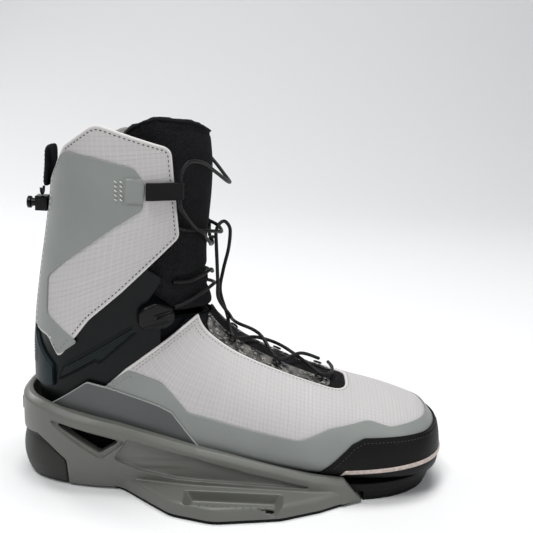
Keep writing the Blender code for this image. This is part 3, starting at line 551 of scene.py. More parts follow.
def drum(centre, axis, radius, length):
    bm = bmesh.new()
    turn = Vector((0, 0, 1)).rotation_difference(Vector(axis)).to_matrix().to_4x4()
    turn.translation = Vector(centre) * MM
    bmesh.ops.create_cone(bm, cap_ends=True, segments=32, radius1=radius * MM, radius2=radius * MM,
                          depth=length * MM, matrix=turn)
    mesh = bpy.data.meshes.new("drum")
    bm.to_mesh(mesh)
    bm.free()
    return linked("drum", mesh)


def last_solid(offset):
    """The whole last as a closed solid, grown by an offset."""
    rings, around = 110, 120
    t, turn = np.meshgrid(np.linspace(0, LAST_END, rings), np.arange(around) / around, indexing="ij")
    return solid(on_last(t, turn, offset)[0].reshape(-1, 3), ring_faces(rings, around))


def combine(target, cutter, operation="DIFFERENCE"):
    step = target.modifiers.new("combine", "BOOLEAN")
    step.operation = operation
    step.object = cutter
    step.solver = "EXACT"
    bake(target)
    bpy.data.objects.remove(cutter)
    return target


def bake(target):
    """Put the object's modifiers into its mesh."""
    graph = bpy.context.evaluated_depsgraph_get()
    mesh = bpy.data.meshes.new_from_object(target.evaluated_get(graph))
    target.modifiers.clear()
    target.data = mesh
    return target


def finished(name, target, materials, body="boot", sharp=40):
    """A solid as it is, with its name, its materials and its body."""
    mesh = target.data
    bpy.data.objects.remove(target)
    mesh.name = name
    smoothed(mesh, sharp)
    mesh.materials.clear()
    return new_object(name, mesh, body, *materials)


def moulded(name, target, materials, voxel=0.8, smooth=4):
    """A moulded piece: its sharp solid remeshed and smoothed, which rounds every edge a little."""
    step = target.modifiers.new("voxels", "REMESH")
    step.mode = "VOXEL"
    step.voxel_size = voxel * MM
    step.adaptivity = 0.0
    soften = target.modifiers.new("soften", "SMOOTH")
    soften.factor = 0.5
    soften.iterations = smooth
    return finished(name, bake(target), materials, sharp=60)


def bevelled(name, target, materials, width, body="boot"):
    """A small hard piece: its solid with rounded edges."""
    step = target.modifiers.new("edges", "BEVEL")
    step.width = width * MM
    step.segments = 3
    step.limit_method = "ANGLE"
    step.angle_limit = math.radians(40)
    return finished(name, bake(target), materials, body)


# ---- materials ----------------------------------------------------------------------------------------
def shade(colour, share):
    return tuple(min(value * share, 1.0) for value in colour)


class Finish:
    """A Principled material and short ways to add texture to it."""

    def __init__(self, name, colour, roughness, metallic=0.0, coat=0.0, sheen=0.0, specular=0.5):
        self.material = bpy.data.materials.new(name)
        self.material.use_nodes = True
        self.nodes = self.material.node_tree.nodes
        self.links = self.material.node_tree.links
        self.shader = self.nodes["Principled BSDF"]
        self.colour = colour
        self.roughness = roughness
        self.height = None
        values = {
            "Base Color": (*colour, 1.0), "Roughness": roughness, "Metallic": metallic, "Coat Weight": coat,
            "Sheen Weight": sheen, "Specular IOR Level": specular, "Sheen Roughness": 0.4,
        }
        for socket, value in values.items():
            self.shader.inputs[socket].default_value = value

    def node(self, kind, inputs=(), **settings):
        made = self.nodes.new("ShaderNode" + kind)
        for key, value in settings.items():
            setattr(made, key, value)
        for key, value in dict(inputs).items():
            if isinstance(value, bpy.types.NodeSocket):
                self.links.new(value, made.inputs[key])
            else:
                made.inputs[key].default_value = value
        return made

    def place(self):
        return self.node("TexCoord").outputs["Object"]

    def weave_place(self):
        return self.node("UVMap", uv_map="weave").outputs[0]

    def math(self, operation, a, b=0.0, c=0.0):
        return self.node("Math", {0: a, 1: b, 2: c}, operation=operation).outputs[0]

    def noise(self, scale, detail=3.0, place=None, stretch=None):
        place = place or self.place()
        if stretch:
            place = self.node("Mapping", {"Vector": place, "Scale": stretch}).outputs[0]
        made = self.node("TexNoise", {"Vector": place, "Scale": scale, "Detail": detail})
        return made.outputs["Fac"]

    def mix(self, factor, a, b):
        made = self.node("Mix", {"Factor": factor}, data_type="RGBA")
        for index, value in ((6, a), (7, b)):
            if isinstance(value, bpy.types.NodeSocket):
                self.links.new(value, made.inputs[index])
            else:
                made.inputs[index].default_value = (*value, 1.0)
        return made.outputs[2]

    def ramp(self, value, low, high, to_low=0.0, to_high=1.0):
        made = self.node("MapRange", {"Value": value, "From Min": low, "From Max": high, "To Min": to_low,
                                      "To Max": to_high})
        return made.outputs[0]

    def paint(self, colour):
        self.links.new(colour, self.shader.inputs["Base Color"])

    def gloss(self, low, high, factor):
        self.links.new(self.ramp(factor, 0.3, 0.7, low, high), self.shader.inputs["Roughness"])

    def bump(self, height, depth, strength=1.0):
        """Raise the surface by height (0 to 1) times depth, in millimetres."""
        inputs = {"Height": height, "Distance": depth * MM, "Strength": strength}
        if self.height is not None:
            inputs["Normal"] = self.height
        self.height = self.node("Bump", inputs).outputs[0]
        self.links.new(self.height, self.shader.inputs["Normal"])

    def vary(self, scale, amount, detail=4.0):
        """Slight changes of brightness over the surface, by a share of the colour."""
        dark, light = shade(self.colour, 1 - amount), shade(self.colour, 1 + amount)
        self.paint(self.mix(self.ramp(self.noise(scale, detail), 0.3, 0.7), dark, light))
        return self


def lines(finish, coordinate, pitch, width):
    """1 on thin lines at a pitch along one coordinate, in millimetres, and 0 between them."""
    phase = finish.math("MULTIPLY", coordinate, 1.0 / (pitch * MM))
    nearest = finish.math("ABSOLUTE", finish.math("SUBTRACT", finish.math("FRACT", phase), 0.5))
    return finish.ramp(nearest, width / pitch * 0.5, width / pitch * 0.5 * 1.6, 1.0, 0.0)


def ripstop(name, colour):
    """Coated cloth with a net of thicker threads, stronger one way than the other."""
    finish = Finish(name, colour, 0.62, sheen=0.15, specular=0.35)
    split = finish.node("SeparateXYZ", {"Vector": finish.weave_place()})
    wander = finish.math("MULTIPLY", finish.math("SUBTRACT", finish.noise(60.0, 2.0), 0.5), 1.2 * MM)
    across = finish.math("ADD", split.outputs[1], wander)
    round_way = finish.math("ADD", split.outputs[0], wander)
    weft = lines(finish, across, 3.1, 0.55)
    warp = lines(finish, round_way, 3.4, 0.5)
    fine = finish.math("MAXIMUM", lines(finish, across, 0.62, 0.3), lines(finish, round_way, 0.62, 0.3))
    slubs = finish.noise(140.0, 2.0, finish.weave_place(), (0.12, 2.4, 1.0))
    patchy = finish.ramp(slubs, 0.35, 0.65, 0.25, 1.0)
    weft_seen = finish.math("MULTIPLY", weft, patchy)
    darker = shade(colour, 0.66)
    lighter = shade(colour, 1.22)
    # Painted shade: the weft lines are darkened as shade along the raised threads. Painted highlight: the
    # warp lines are lightened.
    tone = finish.mix(finish.math("MULTIPLY", weft_seen, 0.42), colour, darker)
    tone = finish.mix(finish.math("MULTIPLY", warp, 0.30), tone, lighter)
    tone = finish.mix(finish.math("MULTIPLY", fine, 0.12), tone, darker)
    tone = finish.mix(finish.ramp(slubs, 0.55, 0.75, 0.0, 0.22), tone, lighter)
    cloudy = finish.ramp(finish.noise(22.0, 3.0), 0.3, 0.7, 0.0, 0.14)
    finish.paint(finish.mix(cloudy, tone, darker))
    finish.bump(weft_seen, 0.14, 0.7)
    finish.bump(warp, 0.05, 0.5)
    finish.bump(fine, 0.05, 0.5)
    finish.bump(finish.noise(120.0, 3.0), 0.25, 0.5)
    return finish.material


def film(name, colour, roughness=0.42):
    """Smooth welded film: a faint grain and soft waves from the cloth under it."""
    finish = Finish(name, colour, roughness, specular=0.45).vary(30.0, 0.05)
    finish.gloss(roughness - 0.05, roughness + 0.08, finish.noise(45.0, 4.0))
    finish.bump(finish.noise(1500.0, 2.0), 0.02, 0.5)
    finish.bump(finish.noise(55.0, 2.0), 0.3, 0.35)
    return finish.material


def plastic(name, colour, roughness, grain, depth, metallic=0.0, vary=0.06, specular=0.4):
    """Moulded plastic or rubber: an etched grain, rubbed places and slight flow marks."""
    finish = Finish(name, colour, roughness, metallic, specular=specular).vary(18.0, vary)
    finish.gloss(roughness - 0.06, roughness + 0.10, finish.noise(35.0, 5.0))
    finish.bump(finish.noise(grain, 3.0), depth, 0.6)
    finish.bump(finish.noise(70.0, 2.0), 0.10, 0.3)
    return finish.material


def hatched(name, colour):
    """Moulded plastic with fine slanting ribs."""
    finish = Finish(name, colour, 0.35, specular=0.2)
    split = finish.node("SeparateXYZ", {"Vector": finish.place()})
    slant = finish.math("MULTIPLY_ADD", split.outputs[2], -1.5, split.outputs[0])
    ribs = lines(finish, slant, 2.9, 1.2)
    # Painted highlight on the raised ribs and painted shade in the grooves between them.
    finish.paint(finish.mix(ribs, shade(colour, 0.3), shade(colour, 2.6)))
    finish.bump(ribs, 0.5, 1.0)
    return finish.material


def mesh_cloth(name, colour, pitch):
    """Padded mesh: a diagonal knit of small cells."""
    finish = Finish(name, colour, 0.85, specular=0.06)
    place = finish.node("Mapping", {"Vector": finish.place(), "Rotation": (0.0, 0.0, 0.6)}).outputs[0]
    cells = finish.node("TexVoronoi", {"Vector": place, "Scale": 1 / (pitch * MM)}, feature="F1")
    hole = finish.ramp(cells.outputs["Distance"], 0.15, 0.55, 1.0, 0.0)
    # Painted shade in the cell holes and painted highlight on the strands between them.
    dark = shade(colour, 0.35)
    light = shade(colour, 2.6)
    finish.paint(finish.mix(hole, light, dark))
    finish.bump(hole, 0.25, 0.7)
    finish.bump(finish.noise(140.0, 3.0), 0.35, 0.5)
    return finish.material


def knit(name, colour):
    """Smooth neoprene face: very fine ribs and soft dents."""
    finish = Finish(name, colour, 0.78, specular=0.08).vary(40.0, 0.2)
    finish.bump(finish.noise(1600.0, 2.0), 0.05, 0.7)
    finish.bump(finish.noise(60.0, 2.0), 0.5, 0.4)
    return finish.material


def woven_tape(name, colour, pitch):
    """Webbing or tape: short ribs across its length, in its own texture places."""
    finish = Finish(name, colour, 0.78, sheen=0.03, specular=0.22)
    split = finish.node("SeparateXYZ", {"Vector": finish.place()})
    ribs = lines(finish, split.outputs[2], pitch, pitch * 0.5)
    round_way = finish.math("ADD", split.outputs[0], split.outputs[1])
    upright = lines(finish, round_way, pitch * 1.3, pitch * 0.7)
    both = finish.math("MULTIPLY", ribs, upright)
    dark = shade(colour, 0.55)
    finish.paint(finish.mix(both, dark, colour))
    finish.bump(both, 0.2, 0.8)
    return finish.material


def braid(name, colour, diameter):
    """A round braided lace: two sets of strands that cross at a slant."""
    finish = Finish(name, colour, 0.42, specular=0.22)
    split = finish.node("SeparateXYZ", {"Vector": finish.weave_place()})
    along = finish.math("MULTIPLY", split.outputs[0], 1.0 / (diameter * 1.5 * MM))
    turn = finish.math("MULTIPLY", split.outputs[1], 4.0)
    strands = []
    for sign in (1.0, -1.0):
        phase = finish.math("MULTIPLY_ADD", turn, sign, along)
        wave = finish.math("SINE", finish.math("MULTIPLY", phase, math.pi))
        strands.append(finish.math("ABSOLUTE", wave))
    height = finish.math("MAXIMUM", strands[0], strands[1])
    # Painted highlight on the strands' crests and painted shade in the grooves between them.
    finish.paint(finish.mix(height, shade(colour, 0.35), shade(colour, 1.6)))
    finish.bump(height, 0.25, 0.8)
    return finish.material


def clear_film(name):
    """Crumpled clear film: glossy, with painted highlights along its creases and patches of painted
    reflection.
    """
    finish = Finish(name, (0.36, 0.34, 0.31), 0.14, coat=0.6, specular=0.8)
    ridged = finish.noise(150.0, 2.0, None, (0.55, 1.6, 1.0))
    ridged = finish.math("ABSOLUTE", finish.math("SUBTRACT", ridged, 0.5))
    # Painted highlight: bright lines along the creases.
    fold = finish.ramp(ridged, 0.0, 0.035, 1.0, 0.0)
    # Painted reflection: lighter patches over a near-black tone.
    reflected_patches = finish.ramp(finish.noise(120.0, 3.0), 0.40, 0.66)
    tone = finish.mix(reflected_patches, (0.014, 0.014, 0.013), (0.17, 0.16, 0.145))
    finish.paint(finish.mix(finish.math("MULTIPLY", fold, 0.6), tone, (0.62, 0.60, 0.56)))
    finish.bump(fold, 0.9, 0.9)
    finish.bump(finish.noise(160.0, 2.0), 1.2, 0.6)
    return finish.material


def sparkling(name, colour):
    """Pale reflective strip with a beaded surface."""
    finish = Finish(name, colour, 0.4, metallic=0.2).vary(400.0, 0.25)
    finish.bump(finish.noise(900.0, 2.0), 0.12, 0.8)
    return finish.material


WHITE = ripstop("white_ripstop", (0.54, 0.525, 0.52))
WHITE_EDGE = film("white_edge", (0.66, 0.64, 0.62), 0.5)
GREY = film("grey_overlay", (0.235, 0.250, 0.238))
SHELL = plastic("heel_shell", (0.0042, 0.0058, 0.0060), 0.32, 700.0, 0.02, specular=0.16)
SPINE_SHELL = plastic("spine_shell", (0.0055, 0.0145, 0.0175), 0.42, 700.0, 0.02, specular=0.18)
GUARD = plastic("side_guard", (0.085, 0.090, 0.090), 0.36, 800.0, 0.015, metallic=0.2)
GUARD_EDGE = plastic("side_guard_edge", (0.30, 0.31, 0.30), 0.35, 800.0, 0.01)
CHASSIS = plastic("chassis_nylon", (0.128, 0.131, 0.117), 0.40, 1000.0, 0.03)
RUBBER = plastic("black_rubber", (0.0055, 0.0055, 0.0055), 0.5, 600.0, 0.06, vary=0.2, specular=0.14)
HEEL_RUBBER = plastic("heel_rubber", (0.013, 0.014, 0.011), 0.46, 700.0, 0.04, vary=0.15, specular=0.32)
RAND = plastic("rand_rubber", (0.0045, 0.0045, 0.0045), 0.5, 500.0, 0.10, vary=0.2, specular=0.14)
STRIP = sparkling("reflective_strip", (0.52, 0.44, 0.40))
MESH = mesh_cloth("black_mesh", (0.0055, 0.0055, 0.006), 1.05)
PIPING = knit("black_piping", (0.008, 0.008, 0.009))
NEOPRENE = knit("neoprene", (0.006, 0.007, 0.009))
FOAM = knit("foam", (0.03, 0.03, 0.035))
WEBBING = woven_tape("webbing", (0.007, 0.007, 0.007), 1.0)
TAPE = woven_tape("pull_tape", (0.42, 0.40, 0.35), 0.7)
LACE = braid("lace", (0.0045, 0.0045, 0.0045), 2.8)
THIN_CORD = braid("thin_cord", (0.0045, 0.0045, 0.0045), 2.0)
GLOSS = plastic("gloss_plastic", (0.003, 0.003, 0.003), 0.22, 1200.0, 0.005, specular=0.22)
FILM = clear_film("clear_film")
STEEL = plastic("steel", (0.5, 0.5, 0.5), 0.3, 1500.0, 0.01, metallic=1.0)
BADGE = plastic("badge", (0.12, 0.125, 0.095), 0.32, 1500.0, 0.01, metallic=0.7)
# Painted shade: near-black for the guard seen through the chassis window.
SHADOW = plastic("window_painted_shade", (0.0015, 0.0015, 0.0015), 0.95, 400.0, 0.02, specular=0.05)
DARK_THREAD = Finish("dark_thread", (0.03, 0.03, 0.028), 0.7).material
GREY_THREAD = Finish("grey_thread", (0.16, 0.16, 0.15), 0.7).material
WHITE_THREAD = Finish("white_thread", (0.66, 0.66, 0.62), 0.7).material

# ---- outlines of the upper, seen from the side (x, z, corner radius) ----------------------------------
FLAP = [
    (-180, 234, 0), (-147, 236, 8), (-131, 266, 14), (-106, 284, 14), (-53, 268, 9), (-50, 236, 20),
    (-47, 202, 8), (-88, 161, 40), (-112, 139, 30), (-132, 112, 6), (-137, 106, 5), (-146, 121, 6),
    (-180, 127, 0),
]
MEDIAL_FLAP = FLAP[:2] + [(-131, 258, 14), (-106, 271, 14), (-53, 262, 9)] + FLAP[5:]
FLAP_OVERLAY = [
    (-180, 232, 0), (-148, 234, 8), (-131, 263, 8), (-104, 259.5, 30), (-78, 254, 9), (-70.5, 243, 5),
    (-72, 224, 8), (-92, 211, 20), (-128, 184, 14), (-145, 168, 8), (-146, 139, 8), (-121, 121, 2),
    (-131, 113, 3), (-137, 108.5, 4), (-146, 124, 5), (-180, 130, 0),
]
MEDIAL_OVERLAY = [
    (-180, 232, 0), (-148, 234, 8), (-134, 252, 8), (-128, 232, 10), (-130, 190, 20), (-120, 160, 16),
    (-118, 142, 10), (-132, 114, 3), (-137, 108.5, 4), (-146, 124, 5), (-180, 130, 0),
]
HEEL_SHELL = [
    (-180, 8, 0), (-180, 230, 0), (-148, 230, 10), (-100, 200, 20), (-58, 171, 6), (-70, 152, 6),
    (-73, 138, 5), (-42, 133, 3), (-40, 100, 10), (-55, 60, 10), (-58, 8, 0),
]
VAMP = [
    (-106, 84.5, 3), (-34, 138.5, 2), (-20, 139, 0), (180, 139, 0), (180, 0, 0), (-60, 0, 0), (-88, 45, 12),
]
VAMP_OVERLAY = [
    (-101, 86.5, 2), (-83, 99.5, 2), (-59, 90, 8), (-50, 81, 8), (-38, 67, 10), (-2, 59, 30), (48, 51, 20),
    (70, 61, 12), (100, 66.5, 20), (118, 61, 12), (150, 62.5, 0), (180, 63, 0), (180, 20, 0), (-34, 20, 0),
    (-44, 34, 6),
]
SIDE_GUARD = [
    (-150, 63, 3), (-114, 90, 4), (-98, 86, 3), (-60, 72.5, 4), (-50, 67.5, 3), (-26, 37, 2), (-26, 22, 0),
    (-150, 22, 0),
]
TOE_RAND = [
    (62, 16.4, 0), (62, 22, 2), (88, 50.5, 6), (97, 55, 6), (180, 54, 0), (180, 16.4, 0),
]
TOE_TRIM = [
    (80, 23, 0), (84, 25.5, 0), (120, 28, 20), (158, 31.5, 0), (180, 34, 0), (180, 37.5, 0), (158, 35, 0),
    (120, 31.5, 20), (84, 29, 0),
]
LINER_SIDE = [
    (-180, 10, 0), (-180, 246, 0), (-150, 247, 20), (-122, 257, 16), (-100, 267, 12), (-82, 275, 8),
    (-74, 274, 5), (-84, 186, 60), (-78, 146, 12), (-64, 137, 6), (-20, 137, 0), (180, 137, 0), (180, 10, 0),
]
TONGUE_SIDE = [
    (-97, 268, 4), (-85, 283, 14), (-62, 292, 18), (-34, 290, 7), (0, 270, 0), (0, 142.5, 0), (-52, 142.5, 8),
    (-74, 162, 14), (-92, 230, 20),
]
INSTEP_TONGUE = [(-46, 136, 3), (-10, 138, 0), (120, 138, 0), (120, 60, 0), (40, 60, 0), (-46, 100, 0)]
INSTEP_WIDTH = [(-60, -34, 0), (92, -34, 14), (92, 34, 14), (-60, 34, 0)]
THROAT = [(-90, -22, 0), (84, -22, 14), (84, 22, 14), (-90, 22, 0)]
ANKLE = [(-60, -40, 0), (0, -40, 0), (0, 40, 0), (-60, 40, 0)]
EYESTAY_OUTER = [(-26, -21.4, 3), (70, -21.4, 10), (72, -12, 4), (-26, -12, 3)]
EMBOSSED_PATCH = [(-84.6, 229, 1), (-68, 229, 0), (-68, 246.5, 0), (-84.6, 246.5, 1)]
SPINE = [(-28, 238, 5), (28, 238, 5), (22.5, 150, 60), (23.5, 120, 8), (43, 99, 12), (44, 80, 8),
         (-44, 80, 8), (-43, 99, 12), (-23.5, 120, 8), (-22.5, 150, 60)]
GAP = 0.35
TONGUE_HALF_WIDTH = 46.0
TONGUE_TOP, TONGUE_TILT = 284.0, 0.14


def above(height):
    return lambda points: points[..., 2] - height


def behind(x):
    return lambda points: x - points[..., 0]


SIDES = (("lateral", -1), ("medial", 1))


def side_span(side, low, high):
    """Turns from low to high round one side of the last."""
    return (low, high) if side < 0 else (-high, -low)


# ---- soft upper ---------------------------------------------------------------------------------------
# the outer and the inner offset of each layer from the last
CLOTH_LAYER, FILM_LAYER, RAND_LAYER, TRIM_LAYER = (0.0, -1.6), (1.1, 0.3), (3.0, 1.45), (4.0, 3.1)
SHELL_LAYER, SPINE_LAYER, LINER_LAYER = (-1.9, -3.7), (0.9, -1.6), (-6.2, -11.0)
COLLAR_LAYER, TONGUE_LAYER, INSTEP_LAYER = (-3.4, -10.2), (-0.5, -6.0), (-2.3, -4.6)
EYESTAY_LAYER, GUIDE_LAYER, TAB_LAYER = (-0.3, -1.5), (3.6, 0.45), (6.6, 2.0)


# a stitch's length, width and spacing, and its slant in radians
VAMP_SEAM, RAND_SEAM, CUFF_SEAM = (2.0, 0.55, 2.9), (2.0, 0.6, 3.0), (2.5, 0.85, 3.4)
CUFF_FILM_SEAM = (2.3, 0.7, 3.4)
TAB_SEAM, BAND_SEAM, SPINE_SEAM = (2.2, 0.6, 3.2), (2.0, 0.6, 2.8), (3.2, 0.9, 4.4, 0.25)
BARTACK, SLOT_TICKS = (2.7, 1.0, 3.1, 0.9), (1.8, 0.7, 5.4, math.pi / 2)


def hump(away, width):
    """1 on a line and falling off smoothly on both sides of it."""
    return np.exp(-(away / width) ** 2)


def build_vamp():
    grid = Grid((0.0, 14.0), (-0.46, 0.46), 250, 230)
    throat = common(shape(THROAT, "XY"), above(62))
    test = without(shape(VAMP), throat)

    def folds(points, deep):
        waves = np.sin(points[..., 0] / 4.5 + 1.3 * np.sin(points[..., 2] / 14.0))
        near_throat = hump(points[..., 0] - 62, 34.0) * unit((points[..., 2] - 60) / 30)
        return 0.12 * waves * near_throat * unit(deep / 6)

    vamp = panel("vamp_fabric", grid, test, CLOTH_LAYER, (WHITE, WHITE_EDGE), 0.7, folds, edge=1.3)
    stand_in("vamp")

    def on_white(points):
        return depth_inside(points, rounded(VAMP_OVERLAY)) < -0.5

    rear = seam_runs(grid, test, 2.4, 0.0, lambda p: on_white(p) & (p[..., 2] > 60))
    rear += seam_runs(grid, test, 4.6, 0.0, lambda p: on_white(p) & (p[..., 2] > 60) & (p[..., 0] < -28))
    stitches("vamp_stitches", rear, GREY_THREAD, *VAMP_SEAM)

    overlay_grid = Grid((0.0, 14.5), (-0.46, 0.46), 250, 230, FILM_LAYER[0])
    overlay_test = without(shape(VAMP_OVERLAY), throat)
    overlay = panel("vamp_film", overlay_grid, overlay_test, FILM_LAYER, (GREY,), 0.35)
    stand_in("vamp_overlay")

    def behind_vamp(points):
        return (points[..., 0] < -80) & (points[..., 2] > 84)

    film_rear = seam_runs(overlay_grid, overlay_test, 1.6, FILM_LAYER[0], behind_vamp)
    film_rear += seam_runs(overlay_grid, overlay_test, 3.6, FILM_LAYER[0], behind_vamp)
    stitches("vamp_film_stitches", film_rear, GREY_THREAD, *VAMP_SEAM)


def build_toe():
    grid = Grid((0.0, 9.0), (0.0, 1.0), 230, 320, 2.0)
    test = shape(TOE_RAND)

    def groove(points, deep):
        return -0.35 * hump(deep - 1.6, 0.7)

    rand = panel("toe_rand_rubber", grid, test, RAND_LAYER, (RAND,), 0.8, groove, levels=(1.2, 1.6, 2.2))
    stand_in("toe_rand")
    runs = seam_runs(grid, test, 3.6, 3.0, lambda p: (p[..., 2] > 30) & (p[..., 0] > 64))
    stitches("toe_rand_stitches", runs, DARK_THREAD, *RAND_SEAM)
    trim_grid = Grid((0.0, 7.5), (0.0, 1.0), 230, 380, 3.6)
    trim = panel("toe_trim_strip", trim_grid, shape(TOE_TRIM), TRIM_LAYER, (STRIP,), 0.4)
    stand_in("toe_trim")
    toe_tip()


def toe_tip():
    """The blunt tip that closes the toe rand's first ring, with the pale strip going on across it."""
    around = 96
    ring = on_last(np.zeros(around), np.arange(around) / around, RAND_LAYER[0])[0]
    centre = ring.mean(axis=0)
    rows = []
    for share in np.linspace(1.0, 0.03, 36):
        row = centre + (ring - centre) * share
        row[:, 0] += 0.9 * (1 - share**2)
        rows.append(row)
    verts = np.concatenate([ring - (1.6, 0, 0)] + rows)
    in_strip = depth_inside(verts, rounded(TOE_TRIM))
    verts[around:, 0] += 0.9 * unit(in_strip[around:] / 0.4)
    faces = ring_faces(len(rows) + 1, around)
    mesh = bpy.data.meshes.new("toe_tip")
    mesh.from_pydata((verts * MM).tolist(), [], faces)
    mesh.polygons.foreach_set("material_index", [int(in_strip[face].mean() > 0.1) for face in faces])
    smoothed(mesh, PANEL_SHARP)
    tip = new_object("toe_tip", mesh, "boot", RAND, STRIP)


BACK_EDGE = -141.0              # behind this the cuff is sewn to the spine


def build_cuff(name, side, outline, overlay_corners):
    spine_gap = common(shape([(a + math.copysign(GAP, a), b, r) for a, b, r in SPINE], "YZ"), behind(-110))
    span = side_span(side, 0.02, 0.5)
    grid = Grid((12.5, 22.0), span, 240, 190)
    test = common(without(shape(outline), spine_gap), one_side(side))
    overlay = shape(overlay_corners)

    def soft(points, deep):
        return 0.10 * np.sin(points[..., 2] / 9.0 + points[..., 0] / 23.0) * unit(deep / 8)

    flap = panel("cuff_fabric_" + name, grid, test, CLOTH_LAYER, (WHITE, WHITE_EDGE), 0.8, soft, edge=1.5)
    stand_in("cuff_" + name)

    def on_white(points):
        return overlay(points) < -1.0

    def on_film(points):
        return overlay(points) > 0.8

    runs = seam_runs(grid, test, 3.0, 0.0, on_white)
    stitches("cuff_stitches_" + name, runs, DARK_THREAD, *CUFF_SEAM)

    film_grid = Grid((12.5, 22.0), span, 240, 190, FILM_LAYER[0])
    film_test = common(without(overlay, spine_gap), one_side(side))

    def embossed(points, deep):
        x, z = points[..., 0], points[..., 2]
        height = np.zeros(x.shape)
        if side < 0:
            patch = depth_inside(points, rounded(EMBOSSED_PATCH))
            height += 0.7 * unit(patch / 0.8) - 0.6 * hump(patch + 0.6, 0.8)
            height -= 0.12 * hump(z - (238 - (x + 128) * 0.12), 5.0)
        else:
            height += 0.45 * unit(7.5 - np.abs(z - 219))
        return height

    strip = panel("cuff_film_" + name, film_grid, film_test, FILM_LAYER, (GREY,), 0.35, embossed)
    stand_in("cuff_overlay_" + name)
    flap_edge = seam_runs(grid, test, 3.0, FILM_LAYER[0], lambda p: on_film(p) & (p[..., 0] > BACK_EDGE))
    stitches("cuff_film_stitches_" + name, flap_edge, GREY_THREAD, *CUFF_FILM_SEAM)
    back_edge = seam_runs(grid, test, 3.6, FILM_LAYER[0], lambda p: on_film(p) & (p[..., 0] <= BACK_EDGE))
    stitches("spine_stitches_" + name, back_edge, WHITE_THREAD, *SPINE_SEAM)
    if side < 0:
        tack = [column_on_last(column, np.linspace(230.0, 246, 12), 1.9, side) for column in (-90.6, -86.8)]
        stitches("loop_bartack", tack, WHITE_THREAD, *BARTACK)


def column_on_last(x, heights, offset, side):
    """Points up the side of the shaft at one x, with their normals."""
    places = np.array([find_on_last(x, z, side) for z in heights])
    return on_last(places[:, 0], places[:, 1], offset)


def find_on_last(x, z, side):
    """The place t, turn on one side of the last that has an x and a z."""
    t_all, turn_all = np.meshgrid(np.linspace(0, LAST_END, 221), np.linspace(0.02, 0.48, 93), indexing="ij")
    points = bare_last(t_all, turn_all, NO_LIMIT)
    best = np.argmin((points[..., 0] - x) ** 2 + (points[..., 2] - z) ** 2)
    t, turn = t_all.ravel()[best], turn_all.ravel()[best]
    for _ in range(6):
        here = bare_last(np.array(t), np.array(turn), NO_LIMIT)
        dt = (bare_last(np.array(t + 0.01), np.array(turn), NO_LIMIT) - here) / 0.01
        du = (bare_last(np.array(t), np.array(turn + 0.001), NO_LIMIT) - here) / 0.001
        matrix = np.array([[dt[0], du[0]], [dt[2], du[2]]])
        step = np.linalg.solve(matrix, np.array([x - here[0], z - here[2]]))
        t, turn = t + step[0], turn + step[1]
    return t, turn * (-side)


RECESS = [(-133, 99, 3), (-81, 133, 2), (-77, 130, 2), (-105, 104, 2), (-108, 106, 1), (-139, 86, 3)]


def paint_inside(piece, corners, material, margin=0.0):
    """Give another material to the faces inside an outline seen from the side."""
    piece.data.materials.append(material)
    centres = np.array([face.center for face in piece.data.polygons]) / MM
    inside = depth_inside(centres, rounded(corners)) > margin
    slots = np.zeros(len(inside), dtype=np.int32)
    piece.data.polygons.foreach_get("material_index", slots)
    slots[inside] = len(piece.data.materials) - 1
    piece.data.polygons.foreach_set("material_index", slots)


def build_heel():
    grid = Grid((9.0, 21.0), (0.0, 1.0), 400, 400, SHELL_LAYER[0])
    throat = common(shape(ANKLE, "XY"), above(60))
    test = without(shape(HEEL_SHELL), throat)

    def ribbed(points, deep):
        x, z = points[..., 0], points[..., 2]
        patch = depth_inside(points, rounded(RECESS))
        step = -1.1 * unit(patch / 1.1) + 0.5 * hump(patch + 0.9, 0.8)
        ledge = 0.7 * unit((98 - (x + 115) * 0.6 - z) / 6.0) * hump(x + 110, 30)
        return step + ledge * unit(-patch) * 0.4

    heel = panel("heel_counter", grid, test, SHELL_LAYER, (SHELL,), 0.7, ribbed)
    paint_inside(heel, RECESS, hatched("heel_hatching", (0.0045, 0.0075, 0.0080)), 1.2)
    stand_in("heel_shell")

    spine_grid = Grid((13.0, 21.5), (0.36, 0.64), 420, 130, SPINE_LAYER[0])
    spine_test = common(shape(SPINE, "YZ"), behind(-110), lambda p: 237 - p[..., 2])
    band = mirrored([(9.5, 218, 2), (7.2, 135, 60), (8.0, 118, 20), (22, 107, 6), (20, 98, 6)])
    frame_line = mirrored([(13, 221, 3), (10.5, 135, 60), (12, 121, 16), (30, 106, 8), (26, 92, 8)])

    def spine_ribs(points, deep):
        y, z = points[..., 1], points[..., 2]
        inside = depth_inside(points, band, "YZ")
        around = depth_inside(points, frame_line, "YZ")
        droop = unit((124 - z) / 20) * y**2 * 0.012
        ribs = 0.5 + 0.5 * np.sin((z - droop) * 2 * np.pi / 2.55)
        height = -0.5 * unit(inside / 0.6) + unit(inside / 0.8) * ribs * 0.75
        return height + 0.35 * unit(around / 2.5)

    spine = panel("spine_ribbed", spine_grid, spine_test, SPINE_LAYER, (SPINE_SHELL,), 1.0, spine_ribs)
    stand_in("spine")


def build_side_guards():
    for name, side in SIDES:
        span = side_span(side, 0.1, 0.5)
        grid = Grid((7.5, 16.5), span, 200, 150, RAND_LAYER[0])
        test = common(shape(SIDE_GUARD), one_side(side))
        guard = panel("side_guard_shell_" + name, grid, test, RAND_LAYER, (GUARD, GUARD_EDGE), edge=0.55)
        # The guard's faces behind the chassis window take the painted shade.
        paint_inside(guard, WINDOW_RIM, SHADOW)
        stand_in("side_guard_" + name)


# ---- padding ------------------------------------------------------------------------------------------
CLOTH = dict(quality=5, mass=0.2, tension_stiffness=12, compression_stiffness=12, bending_stiffness=1.0,
             use_pressure=True, uniform_pressure_force=4.0)


